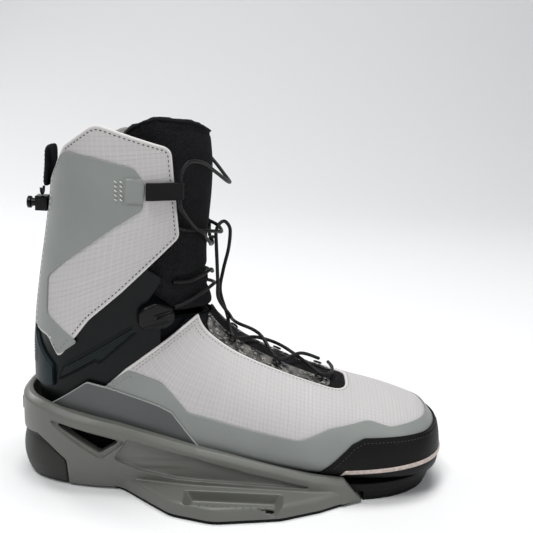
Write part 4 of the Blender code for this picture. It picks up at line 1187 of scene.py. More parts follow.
def swollen(name, form, material, body, cap, voxel, shape_after=None):
    """A padded piece: its form remeshed, blown up as cloth by no more than cap, and subdivided."""
    step = form.modifiers.new("voxels", "REMESH")
    step.mode = "VOXEL"
    step.voxel_size = voxel * MM
    bake(form)
    start = vertex_places(form.data)
    cloth = form.modifiers.new("cloth", "CLOTH")
    for setting, value in CLOTH.items():
        setattr(cloth.settings, setting, value)
    cloth.settings.effector_weights.gravity = 0
    scene = bpy.context.scene
    for moment in range(1, 21):
        scene.frame_set(moment)
    graph = bpy.context.evaluated_depsgraph_get()
    end = vertex_places(form.evaluated_get(graph).data)
    form.modifiers.clear()
    scene.frame_set(1)
    move = end - start
    length = np.linalg.norm(move, axis=1, keepdims=True)
    places = start + move * np.minimum(1.0, cap * MM / np.maximum(length, 1e-9))
    form.data.vertices.foreach_set("co", places.ravel())
    finer = form.modifiers.new("finer", "SUBSURF")
    finer.levels = 1
    bake(form)
    if shape_after:
        places = vertex_places(form.data)
        normals = np.zeros(len(places) * 3)
        form.data.vertices.foreach_get("normal", normals)
        places = places + normals.reshape(-1, 3) * (shape_after(places / MM) * MM)[:, None]
        form.data.vertices.foreach_set("co", places.ravel())
    mesh = form.data
    bpy.data.objects.remove(form)
    mesh.name = name
    mesh.shade_smooth()
    mesh.materials.clear()
    made = new_object(name, mesh, body, material)
    return made


def vertex_places(mesh):
    places = np.zeros(len(mesh.vertices) * 3)
    mesh.vertices.foreach_get("co", places)
    return places.reshape(-1, 3)


def laid_on(target, points, lift):
    """Points moved onto a mesh's surface, and a little above it, with the normals there."""
    mesh = target.data
    tree = BVHTree.FromPolygons([v.co for v in mesh.vertices], [p.vertices[:] for p in mesh.polygons])
    placed, normals = [], []
    for point in points:
        found, normal = tree.find_nearest(Vector(point) * MM)[:2]
        placed.append(np.array(found) / MM + np.array(normal) * lift)
        normals.append(np.array(normal))
    return np.array(placed), np.array(normals)


def evened(points, spacing):
    """A line of points put at an even spacing, ends kept."""
    way = way_along(points)
    count = max(int(way[-1] / spacing), 2)
    return at_way(np.linspace(0, way[-1], count + 1), way, points)


def build_liner():
    lining = common(shape(LINER_SIDE), lambda p: 236 - p[..., 2])
    grid = Grid((1.0, 21.0), (0.0, 1.0), 190, 150, LINER_LAYER[0])
    inner = panel("liner_body", grid, lining, LINER_LAYER, (NEOPRENE,), 1.0)
    ring = Grid((18.0, 22.0), (0.0, 1.0), 110, 260, LINER_LAYER[0])
    collar_test = common(shape(LINER_SIDE), above(231))
    form = panel("collar_form", ring, collar_test, COLLAR_LAYER, (NEOPRENE,), 2.6, body=None)

    def puffs(points):
        x, y, z = points.T
        side = np.abs(y) > 30
        roll = -1.1 * hump(z - (256 + (x + 104) * 0.32), 2.0)
        lumps = 0.7 * np.sin((x + 150) / 8.5) * side * unit((z - 246) / 12)
        return np.where(z < 240, 0.0, roll + lumps)

    collar = swollen("liner_collar", form, NEOPRENE, "boot", 2.6, 3.6, puffs)
    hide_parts("liner")
    footbed = combine(prism(foot_outline(-21.0), "XY", 30.4, 34.0), block((-200, -60, 20), (-112, 60, 45)))
    footbed = moulded("footbed_foam", footbed, (FOAM,), 1.2, 3)
    stand_in("footbed")


def build_tongue():
    grid = Grid((12.0, 22.0), (-0.32, 0.32), 200, 170, 0.0, TONGUE_HALF_WIDTH)

    def under_rim(p):
        rounding = 0.02 * np.clip(p[..., 0] + 44, 0, None) ** 2
        return TONGUE_TOP - TONGUE_TILT * p[..., 1] - rounding - p[..., 2]

    test = common(shape(TONGUE_SIDE), under_rim)
    form = panel("tongue_form", grid, test, TONGUE_LAYER, (MESH,), 2.2, body=None)

    def folds(points):
        x, y, z = points.T
        front = unit((x + 62) / 12)
        low = hump(z - 166, 20.0)
        crease = -2.2 * hump(z - 170 + 0.05 * np.abs(y), 3.2)
        crease += -1.9 * hump(z - 157 + 0.12 * np.abs(y), 2.8)
        channel = -0.7 * hump(z - 274 + TONGUE_TILT * y, 1.8)
        return front * (crease * low + channel)

    tongue = swollen("tongue_mesh", form, MESH, "tongue", 1.8, 2.6, folds)
    stand_in("tongue")
    edge = contour(grid, test(grid.points), 3.5)
    for index, line in enumerate(edge):
        points = on_last(line[:, 0], line[:, 1], 0.0, TONGUE_HALF_WIDTH)[0]
        placed = laid_on(tongue, evened(points[points[:, 2] > 148], 2.2), 0.1)[0]
        piping = tube(f"tongue_piping_{index}", placed, 2.0, PIPING, "tongue", 8)

    low_grid = Grid((4.0, 13.5), (-0.3, 0.3), 190, 130, INSTEP_LAYER[0])
    low_test = common(shape(INSTEP_TONGUE), shape(INSTEP_WIDTH, "XY"), above(50))

    def humps(points, deep):
        x = points[..., 0]
        wave = 0.5 + 0.5 * np.cos((x - 10) * 2 * np.pi / 36.0)
        return 0.9 * wave * unit((15 - np.abs(points[..., 1])) / 8) * unit(deep / 4)

    instep = panel("instep_tongue", low_grid, low_test, INSTEP_LAYER, (MESH,), 1.1, humps)
    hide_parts("tongue_instep")


def build_eyestays():
    for name, side in SIDES:
        grid = Grid((4.0, 13.0), side_span(side, 0.0, 0.2), 260, 80, EYESTAY_LAYER[0])
        outline = rounded([(x, -y * side, r) for x, y, r in EYESTAY_OUTER])
        test = common(lambda p, line=outline: depth_inside(p, line, "XY"), above(62))

        def crumple(points, deep):
            x, y = points[..., 0], points[..., 1]
            fold = np.sin(x / 1.9 + 2.2 * np.sin(y / 2.3)) * np.sin(y / 1.4 + 1.7 * np.sin(x / 3.7))
            return (0.55 * np.abs(fold) - 0.1) * unit(deep / 1.0)

        film_piece = panel("eyestay_film_" + name, grid, test, EYESTAY_LAYER, (FILM,), 0.4, crumple)
        stand_in("eyestay_" + name)


# ---- laces, loops and trim ----------------------------------------------------------------------------
LACE_DIAMETER = 2.8
LOOP_CORD = 2.0
EYELET_ROWS = (-8.0, 28.0, 62.0)
EYELET_HALF = 16.5
LOW_CROSSING = 3.0
HIGH_CROSSING = 6.6
AT_EYELET = 4.3
LOOP_LINE = [
    (-69.6, 61.5), (-64.0, 59.9), (-58.0, 57.1), (-52.5, 53.7), (-49.6, 51.1), (-47.4, 49.4), (-45.4, 49.9),
    (-44.5, 51.8), (-45.4, 53.8), (-48.0, 54.6), (-52.8, 56.1), (-58.0, 58.7), (-64.0, 61.6), (-69.6, 63.2),
]
LOOP_EYE = (-46.9, 51.9)
LOOP_LOW = 231.5
LOOP_HIGH = 244.0


def smooth_route(points, per_span=7):
    """Points along a smooth curve through the route's own points."""
    route = [Vector(point) for point in points]
    result = [route[0]]
    for index in range(len(route) - 1):
        before = route[max(index - 1, 0)]
        after = route[min(index + 2, len(route) - 1)]
        start, end = route[index], route[index + 1]
        handles = start + (end - before) / 6, end - (after - start) / 6
        result += interpolate_bezier(start, *handles, end, per_span + 1)[1:]
    return np.array(result)


def turn_at(t, y, limit):
    """The turn at which the instep side of a section is y from the middle."""
    section = sections(np.array(t))
    half = min(section[4], limit)
    return math.asin((abs(y) / half) ** (section[6] / 2)) / (2 * math.pi)


def over_last(y, out, low, high, limit, short):
    """A point over the last at a place across it. short says whether a place along it comes too early."""
    for _ in range(24):
        middle = (low + high) / 2
        turn = turn_at(middle, y, limit)
        if short(bare_last(np.array(middle), np.array(turn), limit)):
            low = middle
        else:
            high = middle
    return on_last(low, math.copysign(turn, -y), out, limit)[0]


def front_point(y, z, out):
    """A point in front of the tongue, at a place across it and a height."""
    return over_last(y, out, 12.0, float(LAST_END), TONGUE_HALF_WIDTH, lambda p: p[2] < z)


def instep_point(x, y, out):
    """A point above the instep, at a place along it and across it."""
    return over_last(y, out, 4.0, 13.0, NO_LIMIT, lambda p: p[0] > x)


def strand(side, crossing):
    """One end of the lower lace, from the ankle to the toe. It crosses over between each two eyelets."""
    points = []
    for index, x in enumerate(EYELET_ROWS):
        side = -side
        points.append(instep_point(x, EYELET_HALF * side, AT_EYELET))
        if index + 1 < len(EYELET_ROWS):
            points.append(instep_point((x + EYELET_ROWS[index + 1]) / 2, 0, crossing))
    return points


def lower_lace():
    hooked = [
        (-19, 5.5, 150), (-17.5, 6.8, 166), (-13.8, 7.2, 184), (-12.8, 6, 197.5), (-14, 4, 203.6),
        (-17.6, 0.6, 207.4), (-21.4, -2.6, 205.2), (-23.2, -4.4, 199.4), (-22.6, -6.2, 190),
        (-21.5, -6.6, 175), (-20.5, -6.6, 160), (-19.5, -6, 147),
    ]
    first = strand(1, LOW_CROSSING)
    second = strand(-1, HIGH_CROSSING)
    toe_bar = [instep_point(69.5, 12.5, 4.2), instep_point(72, 0, 4.0), instep_point(70, -12, 4.2)]
    up = list(reversed([instep_point(-15, 3, 2.8)] + first))
    down = [instep_point(-15, -3, 5.6)] + second
    return toe_bar + up + hooked + down


def upper_lace():
    x, y = LOOP_EYE
    up = [front_point(8, 187, 1.9), front_point(-3, 190.5, 1.8), front_point(-15, 197, 2.4)]
    up += [front_point(-23, 203, 5.8), front_point(-30, 209, 6.4), (-45.6, -49.6, 224.0), (x, -y, 232.0),
           (x, -y, 243.0)]
    over = [
        (-46, -51, 251.5), (-41, -45, 258), (-32.5, -32, 256), (-23.5, -15, 247), (-16.5, 0, 239),
        (-14.8, 13, 236.5), (-19.5, 25, 240), (-28.5, 34.5, 249), (-38.5, 42.6, 256.6), (-45.2, 49.8, 252)]
    down = [(x, y, 243.0), (x, y, 232.0), (-45.6, 49.6, 224.0), front_point(30, 209, 6.4)]
    return up + over + down + [front_point(23, 203, 5.8), front_point(16, 197.5, 2.6),
                               front_point(12.5, 193, 1.9)]


def free_cord(name, node, points):
    """A lace of a known route. At crossing it passes from the boot to the tongue."""
    route = smooth_route(points)
    piece = tube(name, route, LACE_DIAMETER, LACE, None, 14)
    stand_in(node)
    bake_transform(piece)


def build_laces():
    free_cord("lace_over_tongue", "lace_upper", upper_lace())
    half = [np.array((-52, 40.6, 208)), np.array((-46, 38.4, 207.5)), front_point(33, 206.5, 1.9)]
    half += [front_point(24, 204.5, 2.0), np.array((-23.7, 13, 202))]
    other_half = [point * (1, -1, 1) for point in reversed(half)]
    free_cord("lace_high_bar", "lace_high", half + [(-19.3, 0, 199.5)] + other_half)
    middle = [front_point(y, z, out) for y, z, out in (
        (-36, 167, 2.2), (-28, 166, 2.2), (-17, 169, 2.2), (-5, 170, 2.4), (4, 166, 2.4), (17, 165, 2.2),
        (28, 165, 2.2), (36, 167, 2.2))]
    free_cord("lace_middle_bar", "lace_middle", middle)
    ankle = [front_point(y, z, out) for y, z, out in (
        (-35, 147.5, 3.2), (-28, 150.5, 2.4), (-18, 155, 2.2), (-6, 158, 3.6), (4, 157, 3.6), (18, 155, 2.2),
        (28, 150.5, 2.4), (35, 147.5, 3.2))]
    free_cord("lace_ankle_bar", "lace_ankle", ankle)
    free_cord("lace_over_instep", "lace_lower", lower_lace())
    angles = np.linspace(0, 2 * np.pi, 60)
    coil = np.stack([np.sin(angles) + 2 * np.sin(2 * angles), np.cos(angles) - 2 * np.cos(2 * angles),
                     -np.sin(3 * angles)], -1) * 1.15
    centre = front_point(10, 190, 2.9)
    knot = tube("lace_knot", coil[:, [2, 0, 1]] * (0.9, 1, 1) + centre, 2.4, LACE, "tongue", 12)


def ribbon(name, line, low, high, thickness, finish, body="boot", waves=None):
    """Webbing on edge: a rounded flat section swept along a line in plan, from low to high."""
    line = np.array(line, float)
    ahead = np.gradient(line, axis=0)
    ahead /= np.linalg.norm(ahead, axis=1, keepdims=True)
    side = np.stack([-ahead[:, 1], ahead[:, 0]], -1)
    half = thickness / 2
    section = [(half * math.sin(a), high - half + half * math.cos(a)) for a in np.linspace(-1.57, 1.57, 7)]
    section += [(half, z) for z in np.linspace(high - 1.5, low + 1.5, 7)]
    section += [(half * math.sin(a), low + half + half * math.cos(a)) for a in np.linspace(1.57, 4.71, 7)]
    section += [(-half, z) for z in np.linspace(low + 1.5, high - 1.5, 7)]
    verts = np.array([(*(place + across * off), z)
                      for place, across in zip(line, side) for off, z in section])
    if waves:
        verts = waves(verts)
    mesh = bpy.data.meshes.new(name)
    mesh.from_pydata((verts * MM).tolist(), [], ring_faces(len(line), len(section), True))
    turned_outward(mesh, 60)
    return new_object(name, mesh, body, finish)


def build_loops():
    for name, side in SIDES:
        line = smooth_route([(x, y * side, 0) for x, y in LOOP_LINE], 5)[:, :2]
        loop = ribbon("loop_webbing_" + name, line, LOOP_LOW, LOOP_HIGH, 1.1, WEBBING)
        stand_in("lace_loop_" + name)


def lathe(profile, centre, axis, around=48):
    """A solid of revolution from a closed profile of (radius, height) points."""
    turn = Vector((0, 0, 1)).rotation_difference(Vector(axis)).to_matrix()
    verts, faces = [], []
    count = len(profile)
    for step in range(around):
        angle = 2 * math.pi * step / around
        for radius, height in profile:
            place = turn @ Vector((radius * math.cos(angle), radius * math.sin(angle), height))
            verts.append((place + Vector(centre)) * MM)
    for step in range(around):
        after = (step + 1) % around
        for index in range(count):
            ahead = (index + 1) % count
            faces.append([step * count + index, after * count + index, after * count + ahead,
                          step * count + ahead])
    mesh = bpy.data.meshes.new("lathe")
    mesh.from_pydata([tuple(v) for v in verts], [], faces)
    fix = bmesh.new()
    fix.from_mesh(mesh)
    bmesh.ops.remove_doubles(fix, verts=fix.verts, dist=1e-7)
    bmesh.ops.recalc_face_normals(fix, faces=fix.faces)
    fix.to_mesh(mesh)
    fix.free()
    return linked("lathe", mesh)


def build_eyelets():
    for side_name, side in SIDES:
        for index, x in enumerate(EYELET_ROWS):
            centre = instep_point(x, EYELET_HALF * side, 1.05)
            axis = centre - instep_point(x, EYELET_HALF * side, 0.0)
            angles = np.linspace(0, 2 * np.pi, 20, endpoint=False)
            section = [(2.9 + 1.0 * math.cos(a), 0.75 * math.sin(a) ** 3 + 0.1) for a in angles]
            name = f"{side_name}_{index + 1}"
            ring = finished("eyelet_ring_" + name, lathe(section, centre, axis), (GLOSS,))
            stand_in("eyelet_" + name)


GUIDE = [(-75, 132, 7), (-75, 149, 8), (-62, 153.5, 8), (-50, 148, 7), (-49, 137, 6), (-56, 132, 6)]


def build_guides():
    for name, side in SIDES:
        span = side_span(side, 0.05, 0.4)
        grid = Grid((12.0, 18.0), span, 200, 150, GUIDE_LAYER[0])
        outer = common(shape(GUIDE), one_side(side))

        def moulding(points, deep):
            x, z = points[..., 0], points[..., 2]
            crown = 1.0 * unit(deep / 5.0) ** 0.6
            channel = hump(z - 143 - (x + 62) * 0.25, 1.5) * unit((x + 66) / 3)
            lower = hump(z - 136.5 - (x + 62) * 0.25, 0.8)
            return crown - 1.5 * channel - 0.6 * lower

        guide = panel("guide_plate_" + name, grid, outer, GUIDE_LAYER, (GLOSS,), 1.4, moulding)
        stand_in("ankle_guide_" + name)


LOCK_X = -118.0
LOCK_Z = (160.0, 184.0)
LOCK_PIN = (61.2, 176.0)
LOCK_FLOOR = 58.0


def build_lace_lock():
    pin_y, pin_z = LOCK_PIN
    middle = (LOCK_Z[0] + LOCK_Z[1]) / 2
    side_view = rounded([(48, LOCK_Z[0], 0), (48, LOCK_Z[1], 0), (61.4, LOCK_Z[1], 3), (63.8, pin_z, 4),
                         (62.4, middle - 2, 5), (60.4, LOCK_Z[0], 3)])
    body = prism(side_view, "YZ", LOCK_X - 8, LOCK_X + 8)
    combine(body, last_solid(1.45))
    combine(body, block((LOCK_X - 4.6, LOCK_FLOOR, LOCK_Z[0] - 5), (LOCK_X + 4.6, 80, LOCK_Z[1] + 5)))
    combine(body, drum((LOCK_X, pin_y, pin_z), FORWARD, 1.5, 14.0))
    for step in range(4):
        z = LOCK_Z[0] + 3 + step * 2.4
        combine(body, block((LOCK_X - 7.4, 62.0 - step * 0.1, z), (LOCK_X - 5.4, 70, z + 1.1)))
        combine(body, block((LOCK_X + 5.4, 62.0 - step * 0.1, z), (LOCK_X + 7.4, 70, z + 1.1)))
    body = bevelled("lock_housing", body, (GLOSS,), 0.45)
    stand_in("lace_lock_body")
    lever_view = rounded([(pin_y - 2, pin_z - 13, 1.0), (pin_y - 2, pin_z + 2, 1.9),
                          (pin_y + 2, pin_z + 2, 1.9), (pin_y + 1.8, pin_z - 6, 4),
                          (pin_y + 1.2, pin_z - 13, 0.8)])
    lever = prism(lever_view, "YZ", LOCK_X - 4.2, LOCK_X + 4.2)
    combine(lever, drum((LOCK_X, pin_y, pin_z), FORWARD, 1.25, 20.0))
    for step in range(4):
        z = pin_z - 12 + step * 2.2
        combine(lever, block((LOCK_X - 3.2, pin_y + 1.0, z), (LOCK_X + 3.2, pin_y + 4, z + 1.0)))
    lever = bevelled("lock_cam", lever, (GLOSS,), 0.35, "lock_lever")
    stand_in("lace_lock_lever")
    rod = [(0, -6.7), (0.9, -6.7), (1.2, -6.3), (1.2, 6.3), (0.9, 6.7), (0, 6.7)]
    pin = finished("lock_axle", lathe(rod, (LOCK_X, pin_y, pin_z), FORWARD, 32), (STEEL,))
    stand_in("lace_lock_pin")


TOGGLE = (-155.6, -9.0, 217.5)
HEEL_TAB = [(-17, 230, 6), (-15, 262, 7), (15, 262, 7), (17, 230, 6)]


def build_heel_tab():
    grid = Grid((18.0, 22.0), (0.38, 0.62), 90, 70, 5.0)
    test = common(shape(HEEL_TAB, "YZ"), behind(-120))
    form = panel("tab_form", grid, test, TAB_LAYER, (NEOPRENE,), 2.0, body=None)
    tab = swollen("heel_pull_pad", form, NEOPRENE, "boot", 1.4, 2.6)
    stand_in("heel_tab")
    line = contour(grid, test(grid.points), 3.0)[0]
    placed = laid_on(tab, on_last(line[:, 0], line[:, 1], 7.4)[0], 0.15)
    stitches("heel_pull_stitches", [placed], GREY_THREAD, *TAB_SEAM)

    x, y, z = TOGGLE
    top, low = 229.5, z + 5.5 + GAP + 1.0
    half = [(-4.2, top), (-4.2, low + 4.2), (-3, low + 1.2)]
    sway = [(x, y + across, height) for across, height in half] + [(x, y, low)]
    sway += [(x, y - across, height) for across, height in reversed(half)]
    loop = tube("toggle_cord", smooth_route(sway), LOOP_CORD, THIN_CORD, "boot", 12)
    stand_in("toggle_loop")
    body = block((x - 4.5, y - 5.5, z - 5.5), (x + 4.5, y + 5.5, z + 5.5))
    combine(body, drum((x - 2.5, y, z), FORWARD, 3.5, 10.5))
    for step in (-1, 0, 1):
        for side in (-1, 1):
            centre_y = y + side * 5.5
            combine(body, block((x - 2.6, min(centre_y, centre_y - side * 0.6), z + step * 2.6 - 0.6),
                                (x + 2.6, max(centre_y, centre_y + side), z + step * 2.6 + 0.6)))
    body = bevelled("toggle_housing", body, (GLOSS,), 1.0)
    stand_in("toggle_body")
    profile = [(0, 3.5), (2.6, 3.5), (3.1, 3.0), (3.1, -3.4), (3.1, -3.5), (4.2, -3.6), (4.6, -4.0),
               (4.6, -6.2), (4.0, -6.7), (2.6, -6.7), (2.2, -6.3), (0, -6.2)]
    plunger = finished("toggle_button", lathe(profile, (x - 4.6, y, z), FORWARD), (GLOSS,), "plunger")
    stand_in("toggle_plunger")


def build_pull_tab():
    across = np.linspace(-16, 16, 33)
    band = ribbon("pull_band", [(-45.0 - 0.003 * y * y, y) for y in across], 256, 277, 1.2, WEBBING,
                  "tongue")
    stand_in("tongue_pull_webbing")

    def lean(verts):
        verts = verts.copy()
        verts[:, 0] += 0.5 * np.sin((verts[:, 2] - 232) / 52 * np.pi * 2)
        return verts

    across = np.linspace(-9, 9, 19)
    tape = ribbon("pull_tape_strip", [(-46.6, y) for y in across], 231, 280, 1.1, TAPE, "tongue", lean)
    stand_in("tongue_pull_tape")
    runs = []
    for z in (258.5, 274.5):
        points = np.array([(-45.8 - 0.003 * y * y, y, z) for y in np.linspace(-15, 15, 12)])
        runs.append((points, np.tile((-1.0, 0.0, 0.0), (12, 1))))
    stitches("pull_band_stitches", runs, DARK_THREAD, *BAND_SEAM, body="tongue")


# ---- sole and chassis ---------------------------------------------------------------------------------
FOOT_HALF = [
    (-154, 0), (-150, 20), (-136, 34), (-104, 38), (-60, 40), (-15, 43), (30, 48.5), (72, 51), (106, 48),
    (132, 38), (150, 21), (157, 0),
]
SCREWS = [(-72, 17), (-72, -17), (52, 22), (52, -22)]
CHASSIS_SIDE = [
    (-180, 90, 0), (83, 90, 0), (83, 22.5, 3),
    (98, 3.5, 1), (98, -4, 0), (-129.6, -4, 0), (-129.6, 8, 2), (-130.2, 25, 4), (-143, 37, 4),
    (-153, 44, 3), (-180, 38, 0),
]
HEEL_PAD_SIDE = [
    (-180, 37.6, 0), (-153, 43.6, 3), (-143.4, 36.6, 4), (-130.6, 24.8, 4), (-130, 8, 2), (-130, 0, 0),
    (-158, 0, 4), (-180, 8, 0),
]
WING = [
    (-106, 36, 8), (-86, 48, 24), (-64, 68, 30), (-46, 84, 26), (-14, 93.5, 30), (36, 84, 30), (66, 69, 30),
    (86, 55, 10), (99, 44, 3),
]
WINDOW = [(-141, 58, 2), (-88, 45.5, 2), (-104, 33.5, 3)]
WINDOW_RIM = [(-148, 61, 3), (-82.5, 46.5, 3), (-103, 29, 4)]
RAISED = 3.2                    # how far the rail and the diagonal beam stand out of the wall
CHAMFER = 4.0
CHASSIS_LEVELS = 15
RAIL_X = (-180, -150, -118, -73, -35, 3, 40, 83, 110)
RAIL_Z = (71.8, 71.3, 64.3, 54.2, 43.7, 34.2, 26.9, 22.4, 20.0)
POCKET = [
    (-82.5, 48.2, 2), (-35, 35.8, 10), (3, 26.8, 20), (40, 19.4, 10), (64, 15.2, 1), (-44, 17.2, 16),
    (-72, 21.5, 20), (-93, 29.5, 4),
]
SLOT_LENGTH, SLOT_WIDTH, INSERT_SPACING = 62.0, 7.4, 152.4
SOLE_EDGE, OUTSOLE_BASE, SOLE_TOP, WING_TOP, WALL_CLEARANCE = 1.5, 9.0, 15.6, 13.0, 3.6
CHASSIS_FLOOR, RECESS_FLOOR, GASKET, TOE_BLOCK_START = 2.35, 4.4, 2.0, 99.5
SCREW_HOLE, SCREW_HEAD_HOLE, GASKET_HOLE = 2.9, 5.4, 6.0     # radii
BADGE_POCKET = ((-180, -14.5, 51), (-170, 14.5, 62))
BADGE_PLATE = ((-172.4, -14.1, 51.4), (-170.3, 14.1, 61.6))
BADGE_FIELD = ((-173.0, -12.6, 52.8), (-172.0, 12.6, 60.2))


def foot_outline(grow=0.0):
    """The sole's outline: a curve through FOOT_HALF and its mirror image, bent towards the big toe."""
    ring = FOOT_HALF + [(x, -y) for x, y in reversed(FOOT_HALF[1:-1])]
    count = len(ring)
    outline = []
    for index in range(count):
        p0, p1 = Vector(ring[index - 1]), Vector(ring[index])
        p2, p3 = Vector(ring[(index + 1) % count]), Vector(ring[(index + 2) % count])
        outline += interpolate_bezier(p1, p1 + (p2 - p0) / 6, p2 - (p3 - p1) / 6, p2, 9)[:-1]
    grown = []
    for index, point in enumerate(outline):
        ahead = outline[(index + 1) % len(outline)] - outline[index - 1]
        moved = point.xy + Vector((-ahead.y, ahead.x)).normalized() * grow
        grown.append((moved.x, moved.y + float(toe_bend(moved.x))))
    return grown


def sole_slab(grow, low, high):
    return prism(foot_outline(grow), "XY", low, high)


def chassis_outline(z, grow=0.0, behind_grow=0.0):
    rise = min(max(z, 0.0) / 85.0, 1.0)
    half = 41.5 + 17.5 * math.sin(rise * math.pi / 2) ** 0.8 + grow
    back = -167.5 - 4.5 * min(rise * 2, 1.0) - behind_grow
    outline = []
    for step in np.linspace(-math.pi / 2, math.pi / 2, 61):
        across = math.sin(step)
        x = back + 78.0 * (1 - abs(math.cos(step)) ** (2 / 2.5))
        outline.append((x, half * math.copysign(abs(across) ** (2 / 2.5), across)))
    front = 57.5 + grow
    side = [(-30.0, max(half, front - 2)), (60.0, front), (84.0, front - 2.5), (104.0, 44.0 + grow)]
    return outline + side + [(x, -y) for x, y in reversed(side)]


def chassis_solid(low, high, grow=0.0, swell=None):
    """The chassis's outer body. grow widens it; swell(z) gives the growth all round, at a height."""
    verts = []
    for z in np.linspace(low, high, CHASSIS_LEVELS):
        row = chassis_outline(z, swell(z), swell(z)) if swell else chassis_outline(z, grow)
        verts += [(x, y, z) for x, y in row]
    return solid(verts, ring_faces(CHASSIS_LEVELS, len(row), True))


def chassis_body():
    """The outer body up to the rail's top line, which has a broad chamfer round its outer edge."""
    rows = [(share, 0.0, 0.0) for share in np.linspace(0, 1, 14)]
    for rise in (0.34, 0.67, 1.0):
        rows.append((1.0, rise, 1.0 - math.cos(rise * math.pi / 2) * 0.35 - 0.65 * (1 - rise)))
    count = len(chassis_outline(0))
    verts = []
    for share, rise, lean in rows:
        for step in range(count):
            x = chassis_outline(40.0, RAISED)[step][0]
            top = float(np.interp(x, RAIL_X, RAIL_Z))
            z = -3.0 + (top - CHAMFER + 3.0) * share + CHAMFER * rise
            x, y = chassis_outline(z, RAISED - CHAMFER * lean, -CHAMFER * lean)[step]
            verts.append((x, y, z))
    return solid(verts, ring_faces(len(rows), count, True))


def skin_cutter(outline, keep):
    """What stands more than keep proud of the chassis's wall, inside an outline seen from the side."""
    skin = chassis_solid(-5, 85, RAISED + 4)
    combine(skin, chassis_solid(-8, 88, keep))
    return combine(skin, prism(outline, "XZ", -100, 100), "INTERSECT")


def slot_outline(side, grow_x=0.0, grow_y=0.0, radius=None):
    y = side * INSERT_SPACING / 2
    a, b = SLOT_LENGTH / 2 + grow_x, SLOT_WIDTH / 2 + grow_y
    r = b if radius is None else radius
    return rounded([(-a, y - b, r), (a, y - b, r), (a, y + b, r), (-a, y + b, r)])


def funnel(low_outline, high_outline, low, high):
    """A solid between two outlines of as many points, at two heights."""
    verts = [(x, y, low) for x, y in low_outline] + [(x, y, high) for x, y in high_outline]
    return solid(verts, ring_faces(2, len(low_outline)))


def wing_plate(side, shrink):
    """One wing's outline with the part of the floor that joins it to the foot's block."""
    edge = [(x * (1 - shrink * 0.01), (y - shrink) * side, radius) for x, y, radius in WING[1:-1]]
    return rounded([(-98, 43.5 * side, 0)] + edge + [(95, 43.5 * side, 0)])


def build_chassis():
    main = chassis_body()
    combine(main, skin_cutter(rounded(POCKET), 0.4))
    combine(main, skin_cutter(rounded(WINDOW_RIM), 0.6))
    combine(main, prism(rounded(CHASSIS_SIDE), "XZ", -100, 100), "INTERSECT")
    combine(main, prism(rounded(WINDOW), "XZ", -100, 100))
    for side in (-1, 1):
        low, high = wing_plate(side, 0.0), wing_plate(side, 1.9)
        combine(main, prism(low, "XY", -2.0, WING_TOP - 2.4), "UNION")
        combine(main, funnel(low, wing_plate(side, 0.6), WING_TOP - 2.5, WING_TOP - 1.0), "UNION")
        combine(main, funnel(wing_plate(side, 0.6), high, WING_TOP - 1.1, WING_TOP), "UNION")
    combine(main, block((-300, -150, -20), (300, 150, CHASSIS_FLOOR)))
    combine(main, last_solid(3.3))
    combine(main, sole_slab(SOLE_EDGE + GAP, OUTSOLE_BASE - GAP, 60))
    for side in (-1, 1):
        combine(main, prism(slot_outline(side), "XY", -5, 30))
        low = slot_outline(side, 0.5, 5.4, 2.0)
        high = slot_outline(side, 6.5, 6.6, 3.0)
        combine(main, funnel(low, high, RECESS_FLOOR, WING_TOP + 0.1))
    combine(main, block(*BADGE_POCKET))
    for x, y in SCREWS:
        combine(main, drum((x, y, 5), UP, SCREW_HOLE, 20))
        combine(main, drum((x, y, 2), UP, SCREW_HEAD_HOLE, 6.4))
    main = moulded("chassis_frame", main, (CHASSIS,), 0.7, 5)
    stand_in("chassis")
    marks = []
    for side in (-1, 1):
        y = side * (INSERT_SPACING / 2 + 12.2)
        line = np.array([(x, y, WING_TOP + 0.05) for x in np.linspace(-27, 27, 30)])
        marks.append((line, np.tile((0.0, 0.0, 1.0), (30, 1))))
    stitches("slot_ticks", marks, DARK_THREAD, *SLOT_TICKS)

    badge = combine(block(*BADGE_PLATE), block(*BADGE_FIELD))
    badge = bevelled("heel_plate", badge, (BADGE,), 0.35)
    stand_in("heel_badge")

    def swell(z):
        return 5.2 * math.sin(min(max((z + 5) / 44, 0), 1) * math.pi) ** 0.8 - 2.2

    pad = chassis_solid(0.0, 50.0, swell=swell)
    combine(pad, prism(rounded(HEEL_PAD_SIDE), "XZ", -100, 100), "INTERSECT")
    combine(pad, last_solid(WALL_CLEARANCE))
    combine(pad, sole_slab(SOLE_EDGE + GAP, OUTSOLE_BASE - GAP, 60))
    pad = moulded("heel_cushion", pad, (HEEL_RUBBER,), 0.9, 14)
    stand_in("heel_pad")

    half = [(x * 0.99, y - 1.0, radius) for x, y, radius in WING]
    plate = rounded(half + [(x, -y, radius) for x, y, radius in reversed(half)])
    gasket = prism(plate, "XY", 0.0, GASKET)
    for side in (-1, 1):
        combine(gasket, prism(slot_outline(side), "XY", -5, 30))
    for x, y in SCREWS:
        combine(gasket, drum((x, y, 0), UP, GASKET_HOLE, 10))
    gasket = bevelled("sole_gasket", gasket, (RUBBER,), 0.5)
    stand_in("base_gasket")


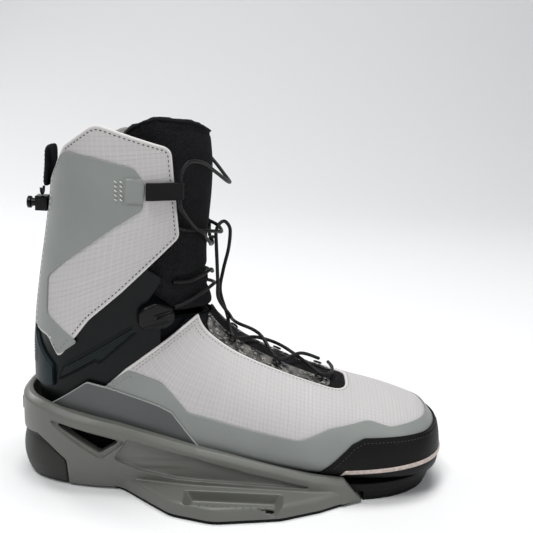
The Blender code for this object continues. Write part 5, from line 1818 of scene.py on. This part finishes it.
def build_outsole():
    sole = sole_slab(SOLE_EDGE, OUTSOLE_BASE, SOLE_TOP)
    for grow, low, high in ((0.0, 4.6, OUTSOLE_BASE + 1), (-2.0, 0.0, 5.2)):
        part = sole_slab(grow, low, high)
        combine(part, block((-300, -100, -5), (TOE_BLOCK_START, 100, 30)))
        combine(sole, part, "UNION")
    for low, high, grow in ((12.2, 13.2, 0.3), (2.4, 3.2, -3.0)):
        ring = sole_slab(4.0, low, high)
        combine(ring, sole_slab(grow, low - 1, high + 1))
        combine(ring, block((-300, -100, -5), (TOE_BLOCK_START + 2, 100, 30)))
        combine(sole, ring)
    for x, y in SCREWS:
        combine(sole, drum((x, y, OUTSOLE_BASE), UP, SCREW_HOLE, 9.0))
    for x in range(106, 150, 8):
        combine(sole, combine(block((x, -60, -1), (x + 3, 60, 1.6)), sole_slab(-10.0, -2, 4), "INTERSECT"))
    sole = moulded("outsole_rubber", sole, (RUBBER,), 0.8, 3)
    stand_in("outsole")
    profile = [(0, 3.6), (1.9, 3.6), (2.3, 2.4), (4.3, 2.4), (5.0, 3.0), (5.0, 5.0), (2.5, 5.0),
               (2.5, 12.1), (2.0, 12.5), (0, 12.5)]
    for index, (x, y) in enumerate(SCREWS):
        screw = finished(f"screw_{index + 1}", lathe(profile, (x, y, 0), UP), (STEEL,))
        stand_in(f"sole_screw_{index + 1}")


# ---- stage, light and camera --------------------------------------------------------------------------
def build_stage():
    profile = [(-3.0, 0.0), (1.2, 0.0)]
    for angle in np.linspace(0.1, math.pi / 2, 16):
        profile.append((1.2 + 1.2 * math.sin(angle), 1.2 - 1.2 * math.cos(angle)))
    profile += [(2.4, 4.0)]
    verts = [(x, y, z) for x in (-5.0, 5.0) for y, z in profile]
    count = len(profile)
    mesh = bpy.data.meshes.new("floor")
    mesh.from_pydata(verts, [], [[i, i + 1, i + 1 + count, i + count] for i in range(count - 1)])
    mesh.shade_smooth()
    ground = Finish("floor", (0.86, 0.86, 0.86), 0.8, specular=0.2)
    ground.bump(ground.noise(300.0), 0.02, 0.2)
    mesh.materials.append(ground.material)
    floor = linked("floor", mesh)
    world = bpy.data.worlds.new("studio")
    world.use_nodes = True
    world.node_tree.nodes["Background"].inputs[0].default_value = (0.93, 0.95, 1.0, 1.0)
    world.node_tree.nodes["Background"].inputs[1].default_value = 0.26
    bpy.context.scene.world = world
    bpy.context.scene.view_settings.view_transform = "Standard"
    lights = (
        ("key", (-0.5, -1.1, 2.2), 0.7, 25.0), ("fill", (1.5, -1.2, 0.8), 1.0, 6.0),
        ("top", (0.1, 0.0, 2.1), 0.9, 24.0), ("rear", (-1.5, 1.1, 1.1), 0.8, 12.0),
    )
    for name, place, size, power in lights:
        lamp = bpy.data.lights.new(name, "AREA")
        lamp.shape = "DISK"
        lamp.size = size
        lamp.energy = power
        made = linked(name, lamp)
        made.location = place
        made.rotation_euler = (Vector((0, 0, 0.13)) - Vector(place)).to_track_quat("-Z", "Y").to_euler()


CAMERA_PLACE = (0.018, -0.684, 0.341)
CAMERA_YAW, CAMERA_PITCH, CAMERA_ROLL = 0.1, 13.8, 2.6
CAMERA_LENS, SENSOR = 60.8, 36.0


def build_camera():
    yaw, pitch, roll = (math.radians(a) for a in (CAMERA_YAW, CAMERA_PITCH, CAMERA_ROLL))
    right = Vector((math.cos(yaw), math.sin(yaw), 0))
    forward = Vector((-math.sin(yaw), math.cos(yaw), 0))
    up = Vector((0, 0, 1))
    ahead = forward * math.cos(pitch) - up * math.sin(pitch)
    above_it = up * math.cos(pitch) + forward * math.sin(pitch)
    turned_right = right * math.cos(roll) + above_it * math.sin(roll)
    turned_up = above_it * math.cos(roll) - right * math.sin(roll)
    data = bpy.data.cameras.new("camera")
    data.lens = CAMERA_LENS
    data.sensor_width = SENSOR
    camera = linked("camera", data)
    turn = Matrix((turned_right, turned_up, -ahead)).transposed().to_4x4()
    turn.translation = CAMERA_PLACE
    camera.matrix_world = turn
    bpy.context.scene.camera = camera


build_camera()
build_laces()
build_stage()
build_vamp()
build_toe()
build_cuff("lateral", -1, FLAP, FLAP_OVERLAY)
build_cuff("medial", 1, MEDIAL_FLAP, MEDIAL_OVERLAY)
build_heel()
build_side_guards()
build_liner()
build_tongue()
build_eyestays()
build_loops()
build_eyelets()
build_guides()
build_lace_lock()
build_heel_tab()
build_pull_tab()
build_chassis()
build_outsole()
